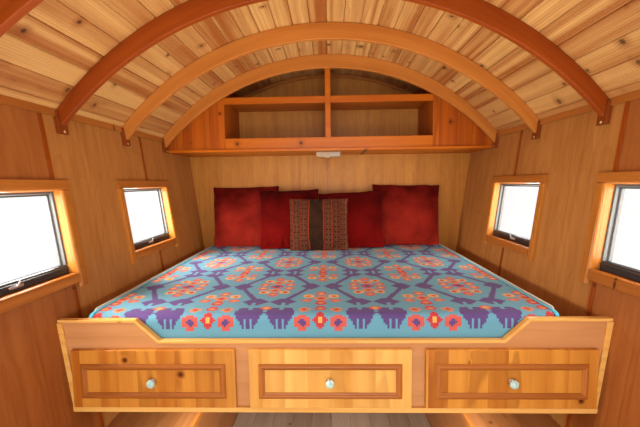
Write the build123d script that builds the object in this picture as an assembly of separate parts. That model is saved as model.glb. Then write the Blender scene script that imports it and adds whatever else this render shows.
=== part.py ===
from build123d import *
import math
import os

# The bed bay of a bow-topped ledge wagon: the last stretch of the body, from the rib at its
# open front end to the end wall. +Z is up, +Y runs towards the end wall and +X is the right
# side. The origin is on the ground, under the middle of the bay. All sizes are millimetres.

# Ribs, which set the length of the bay. The last one stands at the open front end.
RIB_COUNT = 5
RIB_PITCH = 497
RIB_THICK = 28
RIB_TO_END_WALL = 467.5     # front face of the first rib to the end wall
END_WALL_THICK = 40
ROOF_OVERHANG = 70          # past the outer face of the end wall

# Floor and the low walls under the ledges
SILL_WIDTH = 70
SILL_HEIGHT = 70
JOIST_WIDTH = 45
JOIST_COUNT = 5
FLOOR_BOARD_THICK = 22
FLOOR_HALF_WIDTH = 618
LOWER_WALL_THICK = 25
LEDGE_HEIGHT = 463          # floor to the top of the ledge
LEDGE_THICK = 22
NOSING_WIDTH = 18
NOSING_LIP = 5              # the nosing stands this much above and below the ledge
BRACKET_THICK = 34
BRACKET_DROP = 250
BRACKET_TIP = 40            # depth of a bracket at its outer end

# Side walls, which lean outwards by this much for each unit of height
WALL_LEAN = 0.13
WALL_FOOT = 984             # half width between the walls at the ledges
WALL_THICK = 55

# Bow roof on ribs
ROOF_RADIUS = 1502          # underside of the roof boards
ROOF_RISE = 2382            # floor to the underside of the roof boards at the ridge
ROOF_BOARD_THICK = 20
ROOF_COVER_THICK = 4
EAVE_OVERHANG = 35          # roof boards past the outer faces of the walls
EAVE_BOARD_HEIGHT = 70
RIB_DEPTH = 89              # at the ridge; the lower curve is the roof's own, set lower
RIB_CHEEK_THICK = 12
RIB_CHEEK_WIDTH = 20
RIB_CHEEK_HEIGHT = 97
RIB_CHEEK_DROP = 15         # below the tip of the rib
MOULDING_THICK = 12
MOULDING_DEPTH = 20
END_MOULDING_DEPTH = 26

# Battens over the joints of the wall panels
BATTEN_WIDTH = 20
BATTEN_THICK = 5
BATTEN_SPACING = 775
BATTEN_COUNT = 3

# Windows
WINDOW_WIDTH = 516          # clear, inside the wooden frame
WINDOW_HEIGHT = 348
WINDOW_SPACING = 973
WINDOW_TO_END_WALL = 811    # middle of the far window to the end wall
WINDOW_SILL_HEIGHT = 1151   # floor to the clear opening
LINING_THICK = 15
CASING_WIDTH = 44
CASING_THICK = 18
OUTER_CASING_THICK = 15
CASING_HORN = 20            # the side boards run on below the bottom board
SASH_SIDE = 12
SASH_SILL = 38
SASH_INSET = 26             # from the inner face of the wall
SASH_DEPTH = 34
PANE_THICK = 4
PANE_INSET = 20             # from the inner face of the sash
LATCH_LENGTH = 62
LATCH_HEIGHT = 15
LATCH_THICK = 7
LEVER_LENGTH = 30
LEVER_THICK = 9

# Open cupboard over the pillows
CUPBOARD_DROP = 642         # ridge of the roof boards to its underside
CUPBOARD_BOARD = 18
CUPBOARD_LIP = 10
CUPBOARD_HALF_WIDTH = 725   # to the inner face of a closed corner
CUPBOARD_RAIL = 76
SHELF_DROP = 267            # ridge of the roof boards to the top of the shelf
SHELF_RAIL = 45
DIVIDER_THICK = 38
LIGHT_LENGTH = 176
LIGHT_WIDTH = 70
LIGHT_HEIGHT = 46
LIGHT_SETBACK = 90

# Bed, across the bay
BED_DEPTH = 1670            # front face of the bed to the end wall
BED_FRONT_THICK = 22
BED_FRONT_BASE = 654        # floor to the bottom of the front board
BED_DISH_HEIGHT = 252       # front board, under its capping, along the middle
BED_END_RISE = 83           # the raised ends stand this much above the middle
BED_DISH_HALF = 657
BED_DISH_SLOPE = 90         # run of the sloping part
CAPPING_THICK = 12
CAPPING_OVERHANG = 4
END_TRIM_WIDTH = 20
END_TRIM_THICK = 8
BOTTOM_RAIL_HEIGHT = 20
BOTTOM_RAIL_DEPTH = 44
BED_DECK_THICK = 18
BED_DECK_TOP = 863          # floor to the top of the deck
CLEAT_WIDTH = 38
CLEAT_HEIGHT = 45
BEAM_WIDTH = 45
BEAM_HEIGHT = 90
BEAM_COUNT = 2

# Drawers under the bed
MIDDLE_DRAWER_WIDTH = 618   # front
DRAWER_GAP = 52             # between two fronts
DRAWER_END_GAP = 12         # between a side drawer's front and the foot of the wall beside it
DRAWER_TRIM_GAP = 6         # between a side drawer's front and the trim beside it
DRAWER_FRONT_HEIGHT = 229
DRAWER_FRONT_THICK = 19
DRAWER_FRONT_LIFT = 4       # above the bottom rail
DRAWER_OVERLAP = 18         # of a front past its opening
DRAWER_CLOSING_GAP = 1
DRAWER_SIDE_GAP = 6
DRAWER_BOX_LENGTH = 600
DRAWER_BOX_HEIGHT = 130
DRAWER_BOX_LIFT = 29.5      # above the bottom of the front board
DRAWER_SIDE = 12
DRAWER_BOTTOM = 9
DRAWER_RUN_GAP = 0.5
RUNNER_SIZE = 18
PARTITION_THICK = 18
PARTITION_LENGTH = 670
PANEL_MARGIN_SIDE = 37      # edge of a front to its moulding
PANEL_MARGIN_TOP = 53
PANEL_MARGIN_BOTTOM = 39
PANEL_BEAD_WIDTH = 24
PANEL_BEAD_THICK = 10
KNOB_RADIUS = 17
KNOB_LENGTH = 34
KNOB_NECK_RADIUS = 7
KNOB_NECK_LENGTH = 10

# Bedding
MATTRESS_LENGTH = 1900      # across the bay
MATTRESS_WIDTH = 1620
MATTRESS_THICK = 145
MATTRESS_SHIFT = -36        # across the bay
MATTRESS_CORNER = 70
MATTRESS_ROLL = 52          # rounding of the top front edge
BLANKET_THICK = 4.5
BLANKET_GAP = 0.3
BLANKET_DROP = 134
OUTER_CUSHION_SIZE = 540
OUTER_CUSHION_HEIGHT = 504
LEFT_CUSHION_SIZE = 465
LEFT_CUSHION_HEIGHT = 478
RIGHT_CUSHION_SIZE = 492
RIGHT_CUSHION_HEIGHT = 452
CENTRE_CUSHION_SIZE = 452
CENTRE_CUSHION_HEIGHT = 404
CUSHION_THICK = 100
CUSHION_EDGE = 14           # thickness at the seams
CUSHION_LEAN = 12           # degrees from upright

# Bolts to the undercarriage
BOLT_RADIUS = 6.5
BOLT_SPACING = 1600

SEAT = 0.3                  # clearance under curved faces and soft pieces

# Places worked out from those sizes
CLEAR_LENGTH = RIB_TO_END_WALL + (RIB_COUNT - 1) * RIB_PITCH
OVERALL_LENGTH = CLEAR_LENGTH + END_WALL_THICK + ROOF_OVERHANG
OPEN_END = -OVERALL_LENGTH / 2
END_FACE = OPEN_END + CLEAR_LENGTH
END_OUTSIDE = END_FACE + END_WALL_THICK
FLOOR_TOP = SILL_HEIGHT + FLOOR_BOARD_THICK
LEDGE_TOP = FLOOR_TOP + LEDGE_HEIGHT
LEDGE_UNDERSIDE = LEDGE_TOP - LEDGE_THICK
LOWER_WALL_OUTSIDE = FLOOR_HALF_WIDTH + LOWER_WALL_THICK
WINDOW_BASE = FLOOR_TOP + WINDOW_SILL_HEIGHT
LEAN_ANGLE = math.degrees(math.atan(WALL_LEAN))
LEAN_COS = math.cos(math.radians(LEAN_ANGLE))
RIDGE = FLOOR_TOP + ROOF_RISE
RIDGE_TOP = RIDGE + ROOF_BOARD_THICK
ROOF_CENTRE = RIDGE - ROOF_RADIUS
FIRST_RIB = END_FACE - RIB_TO_END_WALL
BED_FRONT = END_FACE - BED_DEPTH
BED_FRONT_BACK = BED_FRONT + BED_FRONT_THICK
FRONT_BASE = FLOOR_TOP + BED_FRONT_BASE
DECK_TOP = FLOOR_TOP + BED_DECK_TOP
DECK_UNDERSIDE = DECK_TOP - BED_DECK_THICK
CUPBOARD_UNDERSIDE = RIDGE - CUPBOARD_DROP
CUPBOARD_FLOOR_TOP = CUPBOARD_UNDERSIDE + CUPBOARD_BOARD
CUPBOARD_FACE = FIRST_RIB + RIB_THICK + RIB_CHEEK_THICK
CUPBOARD_INSIDE = CUPBOARD_FACE + CUPBOARD_BOARD
SHELF_TOP = RIDGE - SHELF_DROP
MATTRESS_BASE = DECK_TOP + SEAT
MATTRESS_FRONT = BED_FRONT_BACK + 2 * BLANKET_THICK
MATTRESS_BACK = MATTRESS_FRONT + MATTRESS_WIDTH
BLANKET_TOP = MATTRESS_BASE + MATTRESS_THICK + BLANKET_GAP + BLANKET_THICK


def wall_face(z):
    """Half width between the side walls' inner faces at height z."""
    return WALL_FOOT + WALL_LEAN * (z - LEDGE_TOP)


def wall_outside(z):
    """Half width over the side walls' outer faces at height z."""
    return wall_face(z) + WALL_THICK / LEAN_COS


def roof_meets(half_width, drop=0):
    """Height where the roof's curve, lowered by that drop, meets the half width given by z."""
    centre = ROOF_CENTRE - drop
    height = centre
    for _ in range(40):
        height = centre + math.sqrt(ROOF_RADIUS ** 2 - half_width(height) ** 2)
    return height


def block(x0, x1, y0, y1, z0, z1):
    """Box between those limits."""
    size = (x1 - x0, y1 - y0, z1 - z0)
    centre = ((x0 + x1) / 2, (y0 + y1) / 2, (z0 + z1) / 2)
    return Pos(*centre) * Box(*size)


def slab(points, y0, y1):
    """Straight-sided outline of (x, z) points, extruded from y0 to y1."""
    face = make_face(Polyline(*[(x, 0, z) for x, z in points], close=True))
    return Pos(0, y0, 0) * extrude(face, amount=y1 - y0, dir=(0, 1, 0))


def roof_rod(radius, y0, y1, drop=0):
    """Solid cylinder on the roof's axis, or lowered by that drop."""
    middle = (y0 + y1) / 2
    return Pos(0, middle, ROOF_CENTRE - drop) * Rot(90, 0, 0) * Cylinder(radius, y1 - y0)


def roof_arc(inner, outer, half_angle, y0, y1):
    """Part of a ring on the roof's axis, as far as half_angle each side of the ridge."""
    reach = 2 * outer
    run = reach * math.sin(half_angle)
    rise = reach * math.cos(half_angle)
    fan = slab(
        [(0, ROOF_CENTRE), (-run, ROOF_CENTRE + rise), (-run, ROOF_CENTRE + reach),
         (run, ROOF_CENTRE + reach), (run, ROOF_CENTRE + rise)],
        y0, y1,
    )
    return (roof_rod(outer, y0, y1) - roof_rod(inner, y0 - 1, y1 + 1)) & fan


def between_walls(z0, z1, y0, y1, inset=0):
    """Slab as wide as the space between the leaning walls, less the inset on each side."""
    low = wall_face(z0) - inset
    high = wall_face(z1) - inset
    return slab([(-low, z0), (low, z0), (high, z1), (-high, z1)], y0, y1)


def against_wall(z0, z1, thick, y0, y1):
    """Strip of that thickness on the inner face of the right wall."""
    step = thick / LEAN_COS
    return slab(
        [(wall_face(z0) - step, z0), (wall_face(z0), z0),
         (wall_face(z1), z1), (wall_face(z1) - step, z1)],
        y0, y1,
    )


def both_sides(solid):
    """The solid and its mirror image on the other side of the bay."""
    return [solid, mirror(solid, about=Plane.YZ)]


def save(node, *solids):
    """Writes one node from one or more solids that don't touch."""
    pieces = [s for shape in solids for s in shape.solids()]
    shape = pieces[0] if len(pieces) == 1 else Compound(children=pieces)
    export_step(shape, f"parts/{node}.step")


def build_floor():
    sill = block(LOWER_WALL_OUTSIDE - SILL_WIDTH, LOWER_WALL_OUTSIDE, OPEN_END, END_OUTSIDE,
                 0, SILL_HEIGHT)
    middle = LOWER_WALL_OUTSIDE - SILL_WIDTH / 2
    for y in (-BOLT_SPACING / 2, BOLT_SPACING / 2):
        sill -= Pos(middle, y, SILL_HEIGHT / 2) * Cylinder(BOLT_RADIUS, 2 * SILL_HEIGHT)
    reach = LOWER_WALL_OUTSIDE - SILL_WIDTH
    step = (CLEAR_LENGTH - JOIST_WIDTH) / (JOIST_COUNT - 1)
    right, left = both_sides(sill)
    frame = right + left
    for n in range(JOIST_COUNT):
        y0 = OPEN_END + n * step
        frame += block(-reach, reach, y0, y0 + JOIST_WIDTH, 0, SILL_HEIGHT)
    save("floor_frame", frame)
    save("floor_boards", block(-FLOOR_HALF_WIDTH, FLOOR_HALF_WIDTH, OPEN_END, END_FACE,
                               SILL_HEIGHT, FLOOR_TOP))
    lower = block(FLOOR_HALF_WIDTH, LOWER_WALL_OUTSIDE, OPEN_END, END_FACE,
                  SILL_HEIGHT, LEDGE_UNDERSIDE)
    save("lower_walls", *both_sides(lower))


def build_ledges():
    outer = wall_outside(LEDGE_TOP)
    ledge = block(FLOOR_HALF_WIDTH, outer, OPEN_END, END_FACE, LEDGE_UNDERSIDE, LEDGE_TOP)
    save("ledges", *both_sides(ledge))
    nosing = block(FLOOR_HALF_WIDTH - NOSING_WIDTH, FLOOR_HALF_WIDTH, OPEN_END, END_FACE,
                   LEDGE_UNDERSIDE - NOSING_LIP, LEDGE_TOP + NOSING_LIP)
    long_edges = nosing.edges().filter_by(Axis.Y).group_by(Axis.X)[0]
    save("ledge_nosings", *both_sides(fillet(long_edges, NOSING_WIDTH / 4)))

    # Brackets outside the low walls, one in line with each joist, carry the ledges.
    step = (CLEAR_LENGTH - JOIST_WIDTH) / (JOIST_COUNT - 1)
    shift = (JOIST_WIDTH - BRACKET_THICK) / 2
    brackets = []
    for n in range(JOIST_COUNT):
        y0 = OPEN_END + n * step + shift
        bracket = slab(
            [(LOWER_WALL_OUTSIDE, LEDGE_UNDERSIDE), (LOWER_WALL_OUTSIDE, LEDGE_UNDERSIDE - BRACKET_DROP),
             (outer, LEDGE_UNDERSIDE - BRACKET_TIP), (outer, LEDGE_UNDERSIDE)],
            y0, y0 + BRACKET_THICK,
        )
        brackets += both_sides(bracket)
    save("ledge_brackets", *brackets)


def window_places():
    """Middle of each window along the bay: near the open end, then far from it."""
    far = END_FACE - WINDOW_TO_END_WALL
    return {"near": far - WINDOW_SPACING, "far": far}


def in_wall(y):
    """Place of a window in the right wall. There, x is the distance out from the inner face."""
    z = WINDOW_BASE + WINDOW_HEIGHT / 2
    return Pos(wall_face(z), y, z) * Rot(0, LEAN_ANGLE, 0)


def window_block(x0, x1, grow):
    """Block over the clear opening, grown by that much on all four sides."""
    return block(x0, x1, -WINDOW_WIDTH / 2 - grow, WINDOW_WIDTH / 2 + grow,
                 -WINDOW_HEIGHT / 2 - grow, WINDOW_HEIGHT / 2 + grow)


def build_walls():
    top = FLOOR_TOP + ROOF_RISE
    wall = slab(
        [(wall_face(LEDGE_TOP), LEDGE_TOP), (wall_outside(LEDGE_TOP), LEDGE_TOP),
         (wall_outside(top), top), (wall_face(top), top)],
        OPEN_END, END_FACE,
    )
    wall &= roof_rod(ROOF_RADIUS - SEAT, OPEN_END, END_FACE)
    for y in window_places().values():
        wall -= in_wall(y) * window_block(-WALL_THICK, 2 * WALL_THICK, LINING_THICK)
    right, left = both_sides(wall)
    save("side_wall_right", right)
    save("side_wall_left", left)

    outline = slab(
        [(-LOWER_WALL_OUTSIDE, SILL_HEIGHT), (LOWER_WALL_OUTSIDE, SILL_HEIGHT),
         (LOWER_WALL_OUTSIDE, LEDGE_UNDERSIDE), (wall_outside(LEDGE_TOP), LEDGE_UNDERSIDE),
         (wall_outside(LEDGE_TOP), LEDGE_TOP), (wall_outside(top), top),
         (-wall_outside(top), top), (-wall_outside(LEDGE_TOP), LEDGE_TOP),
         (-wall_outside(LEDGE_TOP), LEDGE_UNDERSIDE), (-LOWER_WALL_OUTSIDE, LEDGE_UNDERSIDE)],
        END_FACE, END_OUTSIDE,
    )
    save("end_wall", outline & roof_rod(ROOF_RADIUS - SEAT, END_FACE, END_OUTSIDE))


def build_battens():
    moulding_base = roof_meets(wall_face) - MOULDING_DEPTH
    cleat_base = DECK_UNDERSIDE - CLEAT_HEIGHT
    strips = []
    for n in range(BATTEN_COUNT):
        y = END_FACE - (n + 1) * BATTEN_SPACING
        y0 = y - BATTEN_WIDTH / 2
        y1 = y + BATTEN_WIDTH / 2
        stops = [LEDGE_TOP, moulding_base]
        if y > BED_FRONT:
            stops = [LEDGE_TOP, cleat_base, DECK_TOP, moulding_base]
        for z0, z1 in zip(stops[::2], stops[1::2]):
            strip = against_wall(z0, z1, BATTEN_THICK, y0, y1)
            for middle in window_places().values():
                strip -= in_wall(middle) * window_block(-CASING_THICK, CASING_THICK, CASING_WIDTH)
            strips += both_sides(strip)
    strips.append(block(-BATTEN_WIDTH / 2, BATTEN_WIDTH / 2, END_FACE - BATTEN_THICK, END_FACE,
                        DECK_TOP, CUPBOARD_UNDERSIDE))
    save("wall_battens", *strips)


def build_windows():
    face = -CASING_THICK
    outside = WALL_THICK + OUTER_CASING_THICK
    frame = window_block(0, WALL_THICK, LINING_THICK)
    frame += window_block(face, 0, CASING_WIDTH)
    frame += window_block(WALL_THICK, outside, CASING_WIDTH)
    low = -WINDOW_HEIGHT / 2 - CASING_WIDTH
    for side in (-1, 1):
        edge = side * (WINDOW_WIDTH / 2 + CASING_WIDTH)
        inner = side * WINDOW_WIDTH / 2
        frame += block(face, 0, min(edge, inner), max(edge, inner), low - CASING_HORN, low)
    frame -= window_block(2 * face, 2 * outside, 0)

    back = SASH_INSET + SASH_DEPTH
    sash = window_block(SASH_INSET, back, 0)
    light = block(0, 2 * back, -WINDOW_WIDTH / 2 + SASH_SIDE, WINDOW_WIDTH / 2 - SASH_SIDE,
                  -WINDOW_HEIGHT / 2 + SASH_SILL, WINDOW_HEIGHT / 2 - SASH_SIDE)
    pane_face = SASH_INSET + PANE_INSET
    pane = light & window_block(pane_face, pane_face + PANE_THICK, 0)
    sash -= light

    latch_z = (-WINDOW_HEIGHT + SASH_SILL) / 2
    latch = block(SASH_INSET - LATCH_THICK, SASH_INSET, -LATCH_LENGTH / 2, LATCH_LENGTH / 2,
                  latch_z - LATCH_HEIGHT / 2, latch_z + LATCH_HEIGHT / 2)
    lever = block(SASH_INSET - LATCH_THICK - LEVER_THICK, SASH_INSET - LATCH_THICK,
                  -LEVER_THICK / 2, LEVER_THICK / 2, latch_z - LATCH_HEIGHT / 2,
                  latch_z - LATCH_HEIGHT / 2 + LEVER_LENGTH)
    latch += lever

    sashes, panes, latches = [], [], []
    for name, y in window_places().items():
        place = in_wall(y)
        right, left = both_sides(place * frame)
        save(f"window_frame_right_{name}", right)
        save(f"window_frame_left_{name}", left)
        sashes += both_sides(place * sash)
        panes += both_sides(place * pane)
        latches += both_sides(place * latch)
    save("window_sashes", *sashes)
    save("window_panes", *panes)
    save("window_latches", *latches)


def rib_front(n):
    """Front face of rib n, where rib 1 is next to the cupboard."""
    return FIRST_RIB - (n - 1) * RIB_PITCH


def build_roof():
    y0, y1 = OPEN_END, OPEN_END + OVERALL_LENGTH
    boards_top = ROOF_RADIUS + ROOF_BOARD_THICK
    eave = wall_outside(roof_meets(wall_outside)) + EAVE_OVERHANG
    half_angle = math.asin(eave / ROOF_RADIUS)
    save("roof_boards", roof_arc(ROOF_RADIUS, boards_top, half_angle, y0, y1))
    save("roof_cover", roof_arc(boards_top + SEAT, boards_top + SEAT + ROOF_COVER_THICK,
                                half_angle, y0, y1))
    # An eave board hangs from the lower edge of the roof on each side.
    run = math.sin(half_angle)
    rise = math.cos(half_angle)
    top = ROOF_CENTRE + ROOF_RADIUS * rise
    inner = ROOF_RADIUS * run
    outer = inner + ROOF_BOARD_THICK * run
    board = slab(
        [(inner, top), (outer, top + ROOF_BOARD_THICK * rise),
         (outer, top - EAVE_BOARD_HEIGHT), (inner, top - EAVE_BOARD_HEIGHT)],
        y0, y1,
    )
    save("eave_boards", *both_sides(board))


def build_ribs():
    tip = roof_meets(wall_face, RIB_DEPTH)
    low = tip - RIB_CHEEK_DROP
    cheeks = []
    for n in range(1, RIB_COUNT + 1):
        y0 = rib_front(n)
        y1 = y0 + RIB_THICK
        rib = roof_rod(ROOF_RADIUS - SEAT, y0, y1)
        rib -= roof_rod(ROOF_RADIUS, y0 - 1, y1 + 1, RIB_DEPTH)
        save(f"roof_rib_{n}", rib & between_walls(tip - RIB_DEPTH, RIDGE_TOP, y0, y1))
        fronts = [y1] if n == RIB_COUNT else [y0 - RIB_CHEEK_THICK, y1]
        for y in fronts:
            cheek = against_wall(low, low + RIB_CHEEK_HEIGHT, RIB_CHEEK_WIDTH,
                                 y, y + RIB_CHEEK_THICK)
            cheeks += both_sides(cheek & roof_rod(ROOF_RADIUS - SEAT, y, y + RIB_CHEEK_THICK))
    save("rib_feet", *cheeks)

    # Mouldings run along the wall heads from rib to rib, and round the head of the end wall.
    base = roof_meets(wall_face) - MOULDING_DEPTH
    strips = []
    for n in range(1, RIB_COUNT):
        y0 = rib_front(n + 1) + RIB_THICK + RIB_CHEEK_THICK
        y1 = rib_front(n) - RIB_CHEEK_THICK
        strip = against_wall(base, RIDGE_TOP, MOULDING_THICK, y0, y1)
        strips += both_sides(strip & roof_rod(ROOF_RADIUS - SEAT, y0, y1))
    y0 = END_FACE - MOULDING_THICK
    hoop = roof_rod(ROOF_RADIUS - SEAT, y0, END_FACE)
    hoop -= roof_rod(ROOF_RADIUS - END_MOULDING_DEPTH, y0 - 1, END_FACE + 1)
    hoop &= block(-CUPBOARD_HALF_WIDTH, CUPBOARD_HALF_WIDTH, y0, END_FACE, ROOF_CENTRE, RIDGE_TOP)
    for side in (-1, 1):
        half = hoop & block(min(0, side) * CUPBOARD_HALF_WIDTH + DIVIDER_THICK / 2 * (side > 0),
                            max(0, side) * CUPBOARD_HALF_WIDTH - DIVIDER_THICK / 2 * (side < 0),
                            y0, END_FACE, ROOF_CENTRE, RIDGE_TOP)
        strips.append(half)
    save("ceiling_mouldings", *strips)


def build_cupboard():
    arch = roof_rod(ROOF_RADIUS - SEAT, CUPBOARD_FACE - CUPBOARD_LIP, END_FACE)
    reach = wall_face(CUPBOARD_UNDERSIDE) - RIB_CHEEK_WIDTH / LEAN_COS
    lip = block(-reach, reach, CUPBOARD_FACE - CUPBOARD_LIP, CUPBOARD_FACE,
                CUPBOARD_UNDERSIDE, CUPBOARD_FLOOR_TOP)
    save("cupboard_floor", lip + between_walls(CUPBOARD_UNDERSIDE, CUPBOARD_FLOOR_TOP,
                                               CUPBOARD_FACE, END_FACE))
    rail_top = CUPBOARD_FLOOR_TOP + CUPBOARD_RAIL
    save("cupboard_rail", block(-CUPBOARD_HALF_WIDTH, CUPBOARD_HALF_WIDTH, CUPBOARD_FACE,
                                CUPBOARD_INSIDE, CUPBOARD_FLOOR_TOP, rail_top))

    half = DIVIDER_THICK / 2
    divider = block(-half, half, CUPBOARD_FACE, END_FACE, rail_top, RIDGE_TOP)
    divider += block(-half, half, CUPBOARD_INSIDE, END_FACE, CUPBOARD_FLOOR_TOP, rail_top)
    save("cupboard_divider", divider & arch)

    shelf = block(half, CUPBOARD_HALF_WIDTH, CUPBOARD_FACE, END_FACE,
                  SHELF_TOP - CUPBOARD_BOARD, SHELF_TOP)
    shelf += block(half, CUPBOARD_HALF_WIDTH, CUPBOARD_FACE, CUPBOARD_INSIDE,
                   SHELF_TOP - SHELF_RAIL, SHELF_TOP)
    save("cupboard_shelves", *both_sides(shelf))

    corner = between_walls(CUPBOARD_FLOOR_TOP, RIDGE_TOP, CUPBOARD_FACE, CUPBOARD_INSIDE)
    corner &= block(CUPBOARD_HALF_WIDTH, 2 * WALL_FOOT, CUPBOARD_FACE, CUPBOARD_INSIDE,
                    CUPBOARD_FLOOR_TOP, RIDGE_TOP)
    corner += block(CUPBOARD_HALF_WIDTH, CUPBOARD_HALF_WIDTH + CUPBOARD_BOARD, CUPBOARD_INSIDE,
                    END_FACE, CUPBOARD_FLOOR_TOP, RIDGE_TOP)
    save("cupboard_corners", *both_sides(corner & arch))

    y0 = CUPBOARD_FACE + LIGHT_SETBACK
    light = block(-LIGHT_LENGTH / 2, LIGHT_LENGTH / 2, y0, y0 + LIGHT_WIDTH,
                  CUPBOARD_UNDERSIDE - LIGHT_HEIGHT, CUPBOARD_UNDERSIDE)
    light = fillet(light.edges().filter_by(Axis.Z), LIGHT_WIDTH / 4)
    save("cupboard_light", light)


def drawer_table():
    """Name, middle and width of the front of each drawer."""
    inner = MIDDLE_DRAWER_WIDTH / 2 + DRAWER_GAP
    outer = wall_face(FRONT_BASE) - DRAWER_END_GAP
    shift = (inner + outer) / 2
    return [
        ("left", -shift, outer - inner),
        ("middle", 0, MIDDLE_DRAWER_WIDTH),
        ("right", shift, outer - inner),
    ]


def dish_line(drop):
    """Top line of the front board's right half, from the middle, lowered by that much."""
    z = FRONT_BASE + BED_DISH_HEIGHT + CAPPING_THICK
    slope = math.atan2(BED_END_RISE, BED_DISH_SLOPE)
    shift = drop * math.tan(slope / 2)
    return [
        (BED_DISH_HALF + shift, z - drop),
        (BED_DISH_HALF + BED_DISH_SLOPE + shift, z + BED_END_RISE - drop),
    ]


def build_bed_front():
    top = FRONT_BASE + BED_DISH_HEIGHT + BED_END_RISE
    bend, shoulder = dish_line(CAPPING_THICK)
    low, high = wall_face(FRONT_BASE), wall_face(top)
    right = [(low, FRONT_BASE), (high, top), shoulder, bend]
    left = [(-x, z) for x, z in reversed(right)]
    board = slab(right + left, BED_FRONT, BED_FRONT_BACK)
    box_base = FRONT_BASE + DRAWER_BOX_LIFT
    for _, x, width in drawer_table():
        half = width / 2 - DRAWER_OVERLAP
        board -= block(x - half, x + half, BED_FRONT - 1, BED_FRONT_BACK + 1,
                       box_base - DRAWER_SIDE_GAP, box_base + DRAWER_BOX_HEIGHT + DRAWER_SIDE_GAP)
    save("bed_front", board)

    outer_bend, outer_shoulder = dish_line(0)
    right = [(high, top), (wall_face(top + CAPPING_THICK), top + CAPPING_THICK),
             outer_shoulder, outer_bend]
    left = [(-x, z) for x, z in reversed(right)]
    under = [(-x, z) for x, z in ((high, top), shoulder, bend)] + [bend, shoulder]
    capping = slab(right + left[:-1] + under, BED_FRONT - CAPPING_OVERHANG, BED_FRONT_BACK)
    save("bed_capping", capping)

    # The trim up each end narrows beside the drawer.
    trim = against_wall(FRONT_BASE, top, END_TRIM_WIDTH, BED_FRONT - END_TRIM_THICK, BED_FRONT)
    _, x, width = drawer_table()[-1]
    clear_top = FRONT_BASE + DRAWER_FRONT_LIFT + DRAWER_FRONT_HEIGHT + DRAWER_TRIM_GAP
    trim -= block(0, x + width / 2 + DRAWER_TRIM_GAP, BED_FRONT - END_TRIM_THICK - 1, BED_FRONT,
                  FRONT_BASE, clear_top)
    rail = between_walls(FRONT_BASE - BOTTOM_RAIL_HEIGHT, FRONT_BASE,
                         BED_FRONT - (BOTTOM_RAIL_DEPTH - BED_FRONT_THICK) / 2,
                         BED_FRONT_BACK + (BOTTOM_RAIL_DEPTH - BED_FRONT_THICK) / 2)
    right, left = both_sides(trim)
    save("bed_rail", rail + right + left)


def build_bed_frame():
    save("bed_deck", between_walls(DECK_UNDERSIDE, DECK_TOP, BED_FRONT_BACK, END_FACE))
    base = DECK_UNDERSIDE - CLEAT_HEIGHT
    edge = wall_face(base) - CLEAT_WIDTH
    guides_back = BED_FRONT_BACK + PARTITION_LENGTH
    side = slab([(edge, base), (wall_face(base), base), (wall_face(DECK_UNDERSIDE), DECK_UNDERSIDE),
                 (edge, DECK_UNDERSIDE)], guides_back, END_FACE)
    back = block(-edge, edge, END_FACE - CLEAT_WIDTH, END_FACE, base, DECK_UNDERSIDE)
    right, left = both_sides(side)
    bearers = right + left + back
    step = (END_FACE - CLEAT_WIDTH - guides_back) / BEAM_COUNT
    for n in range(BEAM_COUNT):
        y = guides_back + n * step
        bearers += block(-edge, edge, y, y + BEAM_WIDTH, DECK_UNDERSIDE - BEAM_HEIGHT,
                         DECK_UNDERSIDE)
    save("bed_bearers", bearers)

    guides = []
    runner_top = FRONT_BASE + DRAWER_BOX_LIFT - DRAWER_RUN_GAP
    for _, x, width in drawer_table():
        half = width / 2 - DRAWER_OVERLAP
        for side in (-1, 1):
            face = x + side * half
            outer = face + side * PARTITION_THICK
            inner = face - side * RUNNER_SIZE
            guide = block(min(face, outer), max(face, outer), BED_FRONT_BACK,
                          BED_FRONT_BACK + PARTITION_LENGTH, FRONT_BASE, DECK_UNDERSIDE)
            guide += block(min(face, inner), max(face, inner), BED_FRONT_BACK,
                           BED_FRONT_BACK + PARTITION_LENGTH,
                           runner_top - RUNNER_SIZE, runner_top)
            guides.append(guide)
    save("drawer_guides", *guides)


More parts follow.
